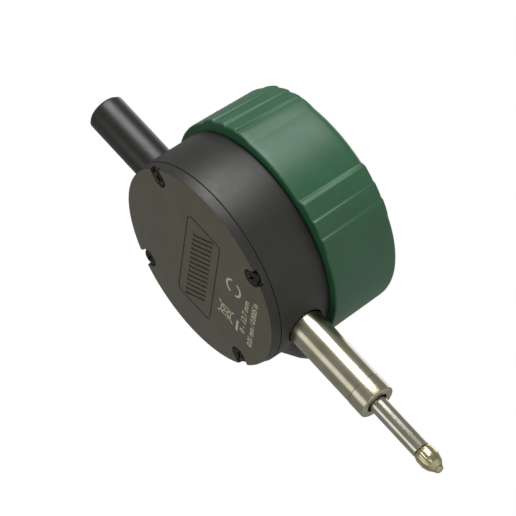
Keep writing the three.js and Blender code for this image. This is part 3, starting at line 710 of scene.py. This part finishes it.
# %% Printed rows
def lettering(words, x, y, height, width):
    """Words as a thin slab of ink, centred on (x, y) of the back face and fitted to a width."""
    curve = bpy.data.curves.new("words", "FONT")
    curve.body = words
    curve.align_x = "CENTER"
    curve.align_y = "CENTER"
    curve.resolution_u = 3
    curve.extrude = 0.5
    curve.offset = 0.015
    made = bpy.data.objects.new("words", curve)
    bpy.context.scene.collection.objects.link(made)
    evaluated = made.evaluated_get(bpy.context.evaluated_depsgraph_get())
    mesh = bpy.data.meshes.new_from_object(evaluated)
    bm = bmesh.new()
    bm.from_mesh(mesh)
    bpy.data.objects.remove(made)
    bpy.data.curves.remove(curve)
    bpy.data.meshes.remove(mesh)
    xs = [v.co.x for v in bm.verts]
    ys = [v.co.y for v in bm.verts]
    stretch = Matrix.Diagonal(
        (-width / (max(xs) - min(xs)), height / (max(ys) - min(ys)), INK_ROOT - INK_TOP, 1)
    )
    moved(bm, Matrix.Translation((x, y, (INK_ROOT + INK_TOP) / 2)) @ stretch)
    return tidy(bm)


rows = [
    lettering("0 - 12.7 mm", -0.2, -16.9, 1.8, 13.6),
    lettering("0.01 mm / 0.0005 in", -0.2, -19.8, 1.8, 18.4),
]
piece("print", joined(*symbols, *rows), DIAL, "housing", [], cream_ink, sharp=20)

# %% [markdown]
# ## Cover screws
#
# Small pan-head screws with a cross recess. The head is spun, the recess is two crossed slots, and the
# shank stays plain because the thread is hidden in its post.


# %% Cross-recessed screws
def cross_screw(head_r, head_t, shank_r, length, turn):
    """A screw whose head is at z = 0 and whose shank points up z."""
    bm = spun(
        [
            (0, 0, 0),
            (head_r, 0.12 * head_t, head_r * 0.28),
            (head_r, head_t, 0.08),
            (shank_r, head_t, 0),
            (shank_r, head_t + length, 0.15),
            (0, head_t + length, 0),
        ],
        steps=40,
    )
    for quarter in (0, 90):
        arm, half = 0.62 * head_r, 0.12 * head_r
        recess = extruded(box_corners(-arm, arm, -half, half, 0.05), -1, 0.6 * head_t)
        bm = cut(bm, moved(recess, Matrix.Rotation(math.radians(turn + quarter), 4, "Z")))
    return bm


SCREW_HEAD_T, SCREW_SHANK_R = 0.9, 0.95
RECESS_TURNS = (18, 64, 37, 80)  # no two screws stop at the same angle
for i, ((x, y), turn) in enumerate(zip(SCREW_PLACES, RECESS_TURNS), start=1):
    node = f"cover_screw_{i}"
    top, end = depth(node)
    screw = cross_screw(half_width(node), SCREW_HEAD_T, SCREW_SHANK_R, end - top - SCREW_HEAD_T, turn)
    moved(screw, Matrix.Translation((x, y, top)))
    piece(f"screw_{i}", screw, DIAL, "housing", [node], screw_steel)

# %% [markdown]
# ## The stem
#
# A holder clamps this tube, so it is ground to size over its whole length. Its lower 5 mm band is a
# hair larger, which shows as one fine line. The end is faced flat with a small chamfer, and the
# spindle runs through the hole in it.

# %% Stem
BAND = 4.8  # length of the larger band at the lower end
RELIEF = 0.07  # how much smaller the stem is above it
LINE_WIDTH, LINE_DEPTH = 0.2, 0.2
LIP_R, LIP_HEIGHT = 2.85, 2.0
BORE_R_ABOVE = 3.6
FLANGE_LOW = DIAL_H - BLOCK_FACE + GAP
FLANGE_R = (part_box("stem")[1].y / MM + half_width("stem")) / 2
stem = spun(
    [
        (LIP_R, stem_low, 0.12),
        (STEM_R, stem_low, 0.45),
        (STEM_R, stem_low + BAND - 0.6 * LINE_WIDTH, 0),
        (STEM_R - LINE_DEPTH, stem_low + BAND, 0),
        (STEM_R - RELIEF, stem_low + BAND + 0.4 * LINE_WIDTH, 0),
        (STEM_R - RELIEF, FLANGE_LOW, 0),
        (FLANGE_R, FLANGE_LOW, 0.1),
        (FLANGE_R, stem_high, 0.1),
        (BORE_R_ABOVE, stem_high, 0),
        (BORE_R_ABOVE, stem_low + LIP_HEIGHT, 0),
        (LIP_R, stem_low + LIP_HEIGHT, 0),
    ],
    steps=128,
)
flat_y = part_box("stem")[0].y / MM
keep = extruded(box_corners(-9, 9, flat_y, 9), stem_low - 1, stem_high + 1)
stem = combined(stem, keep, "INTERSECT")
piece("stem_tube", stem, UPRIGHT, "housing", ["stem"], stem_steel)

# %% [markdown]
# ## The sleeve
#
# The spindle's upper end runs in a black sleeve with a closed, chamfered top, so nothing touches it
# while it moves.

# %% Sleeve
sleeve_low, sleeve_high = rise("sleeve")
SLEEVE_WALL, SLEEVE_TOP_T, SLEEVE_CHAMFER = 1.4, 1.5, 0.7
sleeve = spun(
    [
        (SLEEVE_R - SLEEVE_WALL, sleeve_low, 0.1),
        (SLEEVE_R, sleeve_low, 0.1),
        (SLEEVE_R, sleeve_high - SLEEVE_CHAMFER, 0.25),
        (SLEEVE_R - SLEEVE_CHAMFER, sleeve_high, 0.25),
        (0, sleeve_high, 0),
        (0, sleeve_high - SLEEVE_TOP_T, 0),
        (SLEEVE_R - SLEEVE_WALL, sleeve_high - SLEEVE_TOP_T, 0.2),
    ],
    steps=128,
)
piece("sleeve_tube", sleeve, UPRIGHT, "housing", ["sleeve"], sleeve_nylon)

# %% [markdown]
# ## Spindle and contact point
#
# The spindle is a polished rod. The contact point screws into its end, and has straight flutes so that
# fingers can turn it, a cone, and a blunt hardened tip that touches the work.

# %% Spindle
SPINDLE_R = half_width("spindle")
spindle_low, spindle_high = rise("spindle")
THREAD_HOLE_R, THREAD_HOLE_DEPTH = 1.45, 5.0
spindle = spun(
    [
        (THREAD_HOLE_R, spindle_low, 0.05),
        (SPINDLE_R, spindle_low, 0.2),
        (SPINDLE_R, spindle_high, 0.4),
        (0, spindle_high, 0),
        (0, spindle_low + THREAD_HOLE_DEPTH, 0),
        (THREAD_HOLE_R, spindle_low + THREAD_HOLE_DEPTH, 0),
    ],
    steps=96,
)
piece("spindle_rod", spindle, UPRIGHT, "spindle", ["spindle"], spindle_steel)

# %% Contact point with straight flutes
point_low, point_high = rise("contact_point")
tip_low, tip_high = rise("tip_insert")
POINT_R = half_width("contact_point")
THREAD_R = 1.15
shoulder = spindle_low - GAP
GRIP_LOW = shoulder - 2.9
point = spun(
    [
        (0, point_high, 0),
        (THREAD_R, point_high, 0.1),
        (THREAD_R, shoulder, 0),
        (SPINDLE_R, shoulder, 0.12),
        (POINT_R, shoulder - 1.0, 0.5),
        (POINT_R, GRIP_LOW, 1.2),
        (0.82 * POINT_R, GRIP_LOW - 1.5, 1.4),
        (0.5 * POINT_R, point_low, 0.02),
        (0, point_low, 0),
    ],
    steps=112,
)
FLUTES, FLUTE_R, FLUTE_DEPTH = 12, 0.5, 0.12
flute_x = POINT_R + FLUTE_R - FLUTE_DEPTH
grooves = []
for i in range(FLUTES):
    groove = disc_tool(FLUTE_R, GRIP_LOW - 0.8, shoulder + 0.2, flute_x, 0, 24)
    grooves.append(moved(groove, Matrix.Rotation(math.tau * i / FLUTES, 4, "Z")))
point = cut(point, joined(*grooves))
TIP_SHANK_R = 0.7
point = cut(point, disc_tool(TIP_SHANK_R + GAP, point_low - 1, point_low + 2, steps=32))
piece("contact", point, UPRIGHT, "spindle", ["contact_point"], point_nickel)

TIP_R = half_width("tip_insert")
TIP_SEAM = 0.04
tip = spun(
    [
        (0, tip_low, 0),
        (0.68 * TIP_R, tip_low, 0.4),
        (TIP_R, point_low - TIP_SEAM, 0.02),
        (TIP_SHANK_R, point_low - TIP_SEAM, 0),
        (TIP_SHANK_R, tip_high, 0.1),
        (0, tip_high, 0),
    ],
    steps=64,
)
piece("contact_tip", tip, UPRIGHT, "spindle", ["tip_insert"], point_nickel)

# %% [markdown]
# ## The display head
#
# The head is a moulded ring with a closed rear wall that turns on the case. Four finger grips stand out
# of it: three ridges each, like overlapping steps, and the two upper grips end in a smooth shoulder
# that runs out into the plain wall. The wall slopes in a little towards the display, so that the part
# leaves its mould, and its front edge is well rounded. The ring is spun in fine steps, and the grips
# are then raised by moving the spun points outwards.

# %% Plain head ring
PANEL_REAR_R, PANEL_FRONT_R = 29.15, 28.55
PAD_REAR_R, PAD_FRONT_R = 30.45, 29.0
FACE_R = half_width("face_plate")
face_rear, face_front = depth("face_plate")
HEAD_FLOOR = HEAD_REAR + 2
NECK_HOLE_R = 15.1  # where the head rides on the case's neck
BORE_R = 24.6
HEAD_STEPS = 900
FRONT_ROUND = 2.3
GRIP_END = 0.85  # rounding of the grips' ends at the display side
GRIP_DROP = 0.3  # how far the grips' ends stay behind the head's front


def head_wall():
    """The corners of the head's section. The outer wall has rows of its own, for the grips' taper."""
    ledge = face_rear - GAP
    rows = []
    for share in (0.1, 0.3, 0.5, 0.7, 0.8):
        radius = PANEL_REAR_R + share * (PANEL_FRONT_R - PANEL_REAR_R)
        rows.append((radius, HEAD_REAR + share * (HEAD_FRONT - HEAD_REAR), 0))
    return [
        (NECK_HOLE_R, HEAD_REAR, 0.1),
        (PANEL_REAR_R, HEAD_REAR, 0.5),
        *rows,
        (PANEL_FRONT_R, HEAD_FRONT, FRONT_ROUND),
        (FACE_R + CLEAR, HEAD_FRONT, 0.5),
        (FACE_R + CLEAR, ledge, 0),
        (BORE_R, ledge, 0.1),
        (BORE_R, HEAD_FLOOR, 0.3),
        (NECK_HOLE_R, HEAD_FLOOR, 0.1),
    ]


head = spun(head_wall(), steps=HEAD_STEPS, arc_steps=7)
print("head ring:", len(head.verts), "points")

# %% The finger grips
RIDGES_UPPER = [(133.0, 140.4), (141.0, 149.4), (150.0, 158.0)]
RIDGES_LOWER = [(205.0, 213.6), (214.2, 222.6), (223.2, 230.6)]
SHOULDER, SHOULDER_FROM, SHOULDER_END = 0.8, 160.0, 170.0  # slope after the upper ridges
TAIL = 0.14  # height of the low run-outs that follow, which fade over the angles below
RUN_OUT_FROM, RUN_OUT_LENGTH = 161, 29
TAIL_FROM, TAIL_LENGTH = 234, 27
GROOVE = 0.42
STEEP, GENTLE = 1.3, 4.5  # degrees taken by a grip's two outer flanks
CREST = 0.16  # share of a ridge that its steep side takes up


def smooth(value):
    """0 before 0, 1 after 1, and a soft step between."""
    value = max(0.0, min(1.0, value))
    return value * value * (3 - 2 * value)


def ridge_height(angle, ridges, steep_first):
    """How far a point stands out of the plain wall, as a share of the grip's full height.
    Each ridge has a steep side, which faces the plain wall between the grips, and falls away slowly."""
    first, last = ridges[0][0], ridges[-1][1]
    rise, fall = (STEEP, GENTLE) if steep_first else (GENTLE, STEEP)
    if angle < first - rise or angle > last + fall:
        return 0.0
    edge = min(smooth((angle - first + rise) / rise), smooth((last + fall - angle) / fall))
    for low, high in ridges:
        if low <= angle <= high:
            across = (angle - low) / (high - low)
            from_crest = across if steep_first else 1 - across
            climb = 1 - smooth(from_crest / CREST)
            return edge * (1 - GROOVE * max(climb, from_crest**1.6))
    return edge * (1 - GROOVE)


def grip_share(angle):
    """The grips' outline at an angle in degrees; both sides of the head are alike."""
    angle = angle % 360
    if angle < 90 or angle > 270:
        angle = (180 - angle) % 360
    upper = ridge_height(angle, RIDGES_UPPER, steep_first=False)
    if angle > RIDGES_UPPER[-1][1]:
        past = (angle - SHOULDER_FROM) / (SHOULDER_END - SHOULDER_FROM)
        upper = max(upper, SHOULDER * (1 - smooth(past)))
    lower = ridge_height(angle, RIDGES_LOWER, steep_first=True)
    run_out = TAIL * (1 - smooth((angle - RUN_OUT_FROM) / RUN_OUT_LENGTH)) if angle > RUN_OUT_FROM else 0
    tail = TAIL * (1 - smooth((angle - TAIL_FROM) / TAIL_LENGTH)) if angle > TAIL_FROM - 2 else 0
    return max(upper, lower, run_out, tail)


def raise_grips(bm):
    """Moves the outer wall's points out to the grips."""
    length = HEAD_FRONT - HEAD_REAR
    for v in bm.verts:
        radius = math.hypot(v.co.x, v.co.y)
        if radius < PANEL_FRONT_R - FRONT_ROUND + 0.05:
            continue
        share = grip_share(math.degrees(math.atan2(v.co.y, v.co.x)))
        if share <= 0:
            continue
        along = (v.co.z - HEAD_REAR) / length
        pad = PAD_REAR_R + (PAD_FRONT_R - PAD_REAR_R) * along
        panel = PANEL_REAR_R + (PANEL_FRONT_R - PANEL_REAR_R) * along
        new, z = radius + (pad - panel) * share, v.co.z
        above = v.co.z - (HEAD_FRONT - FRONT_ROUND)
        if above > 0:
            # the head's front rounding becomes the grip's own, which is smaller
            turn = math.atan2(above, max(0.0, radius - (PANEL_FRONT_R - FRONT_ROUND)))
            end_r = PAD_FRONT_R - GRIP_END + GRIP_END * math.cos(turn)
            end_z = HEAD_FRONT - GRIP_DROP - GRIP_END + GRIP_END * math.sin(turn)
            new = radius + (end_r - radius) * share
            z = v.co.z + (end_z - v.co.z) * share
        v.co.x *= new / radius
        v.co.y *= new / radius
        v.co.z = z


raise_grips(head)

# %% Slot for the battery tray, and the finished head
tray_rear, tray_front = depth("battery_tray")
TRAY_HALF = half_width("battery_tray")
TRAY_OUTER = 36  # past the head's wall
slot_half = TRAY_HALF + CLEAR
tray_slot = box_corners(-slot_half, slot_half, 20, TRAY_OUTER)
head = cut(head, extruded(tray_slot, tray_rear - CLEAR, tray_front + CLEAR))
piece("head_ring", head, DIAL, "display_head", ["head_shell"], head_abs, sharp=38)

# %% [markdown]
# ## Face plate, display and keys
#
# The display side is a charcoal plate with a rectangular window. Under the window lies the liquid
# crystal, whose digits are seven-segment shapes. Three rubber-backed keys stand a little proud.

# %% Face plate
window_low, window_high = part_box("window_lens")
WINDOW_HALF = half_width("window_lens") + CLEAR
WINDOW_BOTTOM = (window_low.z - dial_height) / MM - CLEAR
WINDOW_TOP = (window_high.z - dial_height) / MM + CLEAR
plate = spun(
    [(0, face_rear, 0), (FACE_R, face_rear, 0.1), (FACE_R, face_front, 0.45), (0, face_front, 0)],
    steps=160,
)
window_tool = extruded(
    box_corners(-WINDOW_HALF, WINDOW_HALF, WINDOW_BOTTOM, WINDOW_TOP, 0.6), face_rear - 1, face_front + 1
)
plate = cut(plate, window_tool)
KEYS = ("power", "zero", "unit")
KEY_R = 3.5
key_places = {}
for key in KEYS:
    low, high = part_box(f"button_{key}")
    key_places[key] = ((low.x + high.x) / 2 / MM, ((low.z + high.z) / 2 - dial_height) / MM)
    plate = cut(plate, disc_tool(KEY_R + CLEAR, face_rear - 1, face_front + 1, *key_places[key], 48))
piece("front_plate", plate, DIAL, "display_head", ["face_plate"], face_abs)

# %% Window and liquid crystal
lens_rear, lens_front = depth("window_lens")
lens_half = WINDOW_HALF - CLEAR
lens_corners = box_corners(-lens_half, lens_half, WINDOW_BOTTOM + CLEAR, WINDOW_TOP - CLEAR, 0.5)
lens = extruded(lens_corners, lens_rear, lens_front, edge=0.12)
piece("window", lens, DIAL, "display_head", ["window_lens"], window_acrylic)

lcd_rear, lcd_front = depth("lcd_panel")
LCD_HALF = half_width("lcd_panel")
LCD_BORDER = 1.2
lcd_corners = box_corners(-LCD_HALF, LCD_HALF, WINDOW_BOTTOM - LCD_BORDER, WINDOW_TOP + LCD_BORDER, 0.4)
lcd = extruded(lcd_corners, lcd_rear, lcd_front, edge=0.1)
piece("liquid_crystal", lcd, DIAL, "display_head", ["lcd_panel"], lcd_grey)

# %% Seven-segment digits
# the six bars of a nought, from corner to corner, in half widths and quarter heights
ZERO = ((-1, 2, 1, 2), (1, 2, 1, 0), (1, 0, 1, -2), (-1, -2, 1, -2), (-1, 0, -1, -2), (-1, 2, -1, 0))
DIGIT_COUNT, DIGIT_START, DIGIT_STEP = 4, -9.6, 6.2
DIGIT_H, DIGIT_W, SEGMENT_W = 4.0, 1.9, 0.75
LEAN = 0.06  # sideways for each unit of height
SEGMENT_LOW, SEGMENT_HIGH = lcd_front - 0.05, lcd_front + 0.05


def digit(segments, x, y):
    """One seven-segment digit, leaning like those of a real display."""
    bars = []
    for x0, y0, x1, y1 in segments:
        start = Vector((x0 * DIGIT_W + LEAN * y0 * DIGIT_H, y0 * DIGIT_H / 2))
        end = Vector((x1 * DIGIT_W + LEAN * y1 * DIGIT_H, y1 * DIGIT_H / 2))
        inset = (end - start).normalized() * SEGMENT_W * 0.55
        a, b = start + inset, end - inset
        outline = bar(x + a.x, y + a.y, x + b.x, y + b.y, SEGMENT_W)
        bars.append(extruded(outline, SEGMENT_LOW, SEGMENT_HIGH))
    return bars


digit_y = (WINDOW_BOTTOM + WINDOW_TOP) / 2
digits = []
for i in range(DIGIT_COUNT):
    digits += digit(ZERO, DIGIT_START + DIGIT_STEP * i, digit_y)
point_x, point_y = DIGIT_START + DIGIT_STEP / 2, digit_y - DIGIT_H
point_corners = box_corners(point_x - 0.4, point_x + 0.4, point_y - 0.4, point_y + 0.4)
digits.append(extruded(point_corners, SEGMENT_LOW, SEGMENT_HIGH))
piece("digits", joined(*digits), DIAL, "display_head", [], lcd_dark, sharp=20)


# %% Keys
def key_mark(kind):
    """A plain mark for the key's top, about its centre."""
    if kind == "zero":
        return [arc_band(0, 0, 1.2, 0.4, 0, 359.9, 40)]
    if kind == "power":
        return [arc_band(0, 0, 1.2, 0.4, 125, 415, 32), bar(0, 0.5, 0, 1.8, 0.4)]
    return [bar(-1.2, 0.5, 1.2, 0.5, 0.4), bar(-1.2, -0.5, 1.2, -0.5, 0.4)]


PLUNGER_R, SKIRT_T, SKIRT_OUT = 1.4, 0.6, 0.9
MARK_DEPTH = 0.35
for key in KEYS:
    x, y = key_places[key]
    rear, front = depth(f"button_{key}")
    cap = spun(
        [
            (0, rear, 0),
            (PLUNGER_R, rear, 0),
            (PLUNGER_R, rear + SKIRT_T, 0),
            (KEY_R + SKIRT_OUT, rear + SKIRT_T, 0),
            (KEY_R + SKIRT_OUT, rear + 2 * SKIRT_T, 0),
            (KEY_R, rear + 2 * SKIRT_T, 0),
            (KEY_R, front - 0.25, 0.6),
            (0, front, 0),
        ],
        steps=72,
    )
    mark = joined(*[extruded(outline, front - MARK_DEPTH, front + 1) for outline in key_mark(key)])
    at_key = Matrix.Translation((x, y, 0))
    cap = cut(moved(cap, at_key), moved(mark, at_key))
    piece(f"key_{key}", cap, DIAL, f"{key}_button", [f"button_{key}"], key_abs)

# %% [markdown]
# ## Battery tray, coin cell and port plug
#
# The tray slides out of the head's top with the coin cell in it. Its outer end follows the head's
# curve, and a shallow finger slot is moulded into it. A soft rubber plug keeps dirt out of the port.

# %% Battery tray
tray_inner = (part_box("battery_tray")[0].z - dial_height) / MM
cell_low, cell_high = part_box("coin_cell")
cell_y = ((cell_low.z + cell_high.z) / 2 - dial_height) / MM
CELL_R = half_width("coin_cell")
TRAY_FLOOR = 0.7
CONTACT_HALF, CONTACT_REACH = 2.6, 15  # the opening for the battery contacts
tray = extruded(box_corners(-TRAY_HALF, TRAY_HALF, tray_inner, TRAY_OUTER, 0.4), tray_rear, tray_front)
outside = disc_tool(PANEL_REAR_R - 0.1, tray_rear - 1, tray_front + 1, steps=256)
tray = combined(tray, outside, "INTERSECT")
tray = cut(tray, disc_tool(CELL_R + GAP, tray_rear + TRAY_FLOOR, tray_front + 1, 0, cell_y, 96))
opening = box_corners(-CONTACT_HALF, CONTACT_HALF, tray_inner - 1, tray_inner + CONTACT_REACH)
tray = cut(tray, extruded(opening, tray_rear - 1, tray_front + 1))
SLOT_HALF_X, SLOT_HALF_Z, SLOT_FLOOR = 5, 0.55, 28.3
mid_z = (tray_rear + tray_front) / 2
finger_slot = box_corners(-SLOT_HALF_X, SLOT_HALF_X, SLOT_FLOOR, 32)
tray = cut(tray, extruded(finger_slot, mid_z - SLOT_HALF_Z, mid_z + SLOT_HALF_Z))
piece("tray", tray, DIAL, "tray", ["battery_tray"], tray_abs)

# %% Coin cell
cell_rear, cell_front = depth("coin_cell")
cell = spun(
    [
        (0, cell_rear, 0),
        (CELL_R - 1.1, cell_rear, 0.25),
        (CELL_R - 1.0, cell_rear + 0.35, 0.1),
        (CELL_R, cell_rear + 0.5, 0.3),
        (CELL_R, cell_front, 0.35),
        (0, cell_front, 0),
    ],
    steps=96,
)
moved(cell, Matrix.Translation((0, cell_y, 0)))
piece("cell", cell, DIAL, "tray", ["coin_cell"], plain_steel)

# %% Port plug
PLUG_REACH, FLANGE_T = 1.6, 0.7
plug_half, flange_half = MOUTH_HALF - GAP, MOUTH_HALF + PLUG_LIP
flange_at = PORT_FACE + GAP
plug_corners = box_corners(PORT_FACE - PLUG_REACH, PORT_FACE + 0.6, MOUTH_LOW + GAP, MOUTH_HIGH - GAP)
flange_corners = box_corners(
    flange_at, flange_at + FLANGE_T, MOUTH_LOW - PLUG_LIP, MOUTH_HIGH + PLUG_LIP, 0.1
)
plug = fused(
    extruded(plug_corners, -plug_half, plug_half, edge=0.2),
    extruded(flange_corners, -flange_half, flange_half, edge=0.3),
)
moved(plug, port_turn)
piece("port_plug", plug, DIAL, "port_plug", ["port_cover"], seal_rubber)

# %% [markdown]
# ## What stays as engineering parts
#
# The pieces inside the case and the head are only seen when something is pulled out, so they keep the
# engineering model's shape and get the finish of their real material.

# %% Finishes for the carried-over nodes
KEPT = {
    bush_brass: ["bush_lower", "bush_upper"],
    inner_pom: ["carrier", "guide_rail", "reader_chip"],
    screw_steel: [f"board_screw_{i}" for i in (1, 2)]
    + [f"ring_screw_{i}" for i in (1, 2, 3)]
    + [f"display_screw_{i}" for i in (1, 2, 3)]
    + ["carrier_screw"],
    plain_steel: ["guide_pin", "return_spring", "spring_post", "stop_pin", "retaining_ring"],
    foil_copper: ["scale_strip", "cable_coil", "port_socket"],
    board_epoxy: ["reader_board", "display_board"],
    seal_rubber: ["spindle_bumper", "drag_ring", "contact_strip"],
    key_silicone: ["button_membrane"],
    contact_brass: ["battery_contact_minus", "battery_contact_plus"],
}
for material, names in KEPT.items():
    for name in names:
        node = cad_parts[name]
        node.data.materials.clear()
        node.data.materials.append(material)
print("carried over:", sum(len(names) for names in KEPT.values()), "nodes")

# %% [markdown]
# ## Floor and light
#
# The indicator is shown on white, lit by soft boxes. The floor is a pale plane far below. One wide key
# light hangs above the head, a narrow strip draws a bright line along the steel, and a dim fill keeps
# the shadow side readable. A weak box in front of the display lights the other side. The backdrop is
# white to the eye, and dimmer as a light, as a white sweep is when it stands well behind the object.

# %% Floor
FLOOR_HALF, FLOOR_Z = 6, -0.55  # metres
floor_mesh = bpy.data.meshes.new("floor")
bm = bmesh.new()
bmesh.ops.create_grid(bm, x_segments=1, y_segments=1, size=FLOOR_HALF)
moved(bm, Matrix.Translation((0, 0, FLOOR_Z)))
bm.to_mesh(floor_mesh)
bm.free()
floor = bpy.data.objects.new("floor", floor_mesh)
bpy.context.scene.collection.objects.link(floor)
paper, tree, shader, place = finish_of("matt white paper", "f4f4f2", Roughness=0.9)
mottled(tree, shader, noise(tree, place, 60, 2), "f2f2f0", "f6f6f4")
floor.data.materials.append(paper)
floor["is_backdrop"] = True


# %% Lights
def soft_box(name, direction, distance, width, height, power, colour="ffffff"):
    """An area light in that direction from the dial, aimed at it."""
    data = bpy.data.lights.new(name, "AREA")
    data.shape = "RECTANGLE"
    data.size, data.size_y = width, height
    data.energy = power
    data.color = linear(colour)[:3]
    light = bpy.data.objects.new(name, data)
    aim = Vector(direction).normalized()
    light.location = Vector((0, 0, dial_height)) + aim * distance
    light.rotation_mode = "QUATERNION"
    light.rotation_quaternion = aim.to_track_quat("Z", "Y")
    bpy.context.scene.collection.objects.link(light)
    return light


def from_camera(right, up, back):
    """A direction given as seen from the camera."""
    return CAMERA_RIGHT * right + CAMERA_UP * up + camera_back * back


soft_box("key", from_camera(-0.08, 0.88, 0.47), 0.9, 0.6, 0.6, 8)
soft_box("line", from_camera(-0.15, 0.05, 0.98), 1.3, 0.12, 0.3, 0.7)
soft_box("front", (0.45, -0.85, 0.35), 1.2, 0.7, 0.7, 2)
soft_box("fill", from_camera(-0.8, -0.35, 0.5), 1.0, 0.5, 0.8, 1.6)
world = bpy.data.worlds.new("studio")
world.use_nodes = True
tree = world.node_tree
tree.nodes.clear()
room = add(tree, "ShaderNodeBackground", in_Color=linear("fbfbf8"), in_Strength=0.34)
sweep = add(tree, "ShaderNodeBackground", in_Color=(1, 1, 1, 1), in_Strength=1.0)
seen = add(tree, "ShaderNodeLightPath").outputs["Is Camera Ray"]
both = add(tree, "ShaderNodeMixShader", [("Fac", seen)])
tree.links.new(room.outputs[0], both.inputs[1])
tree.links.new(sweep.outputs[0], both.inputs[2])
tree.links.new(both.outputs[0], add(tree, "ShaderNodeOutputWorld").inputs[0])
bpy.context.scene.world = world
bpy.context.scene.view_settings.view_transform = "Standard"

# %% Sizes and finish
low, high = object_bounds()
print("size in mm:", [round((b - a) / MM, 2) for a, b in zip(low, high)])
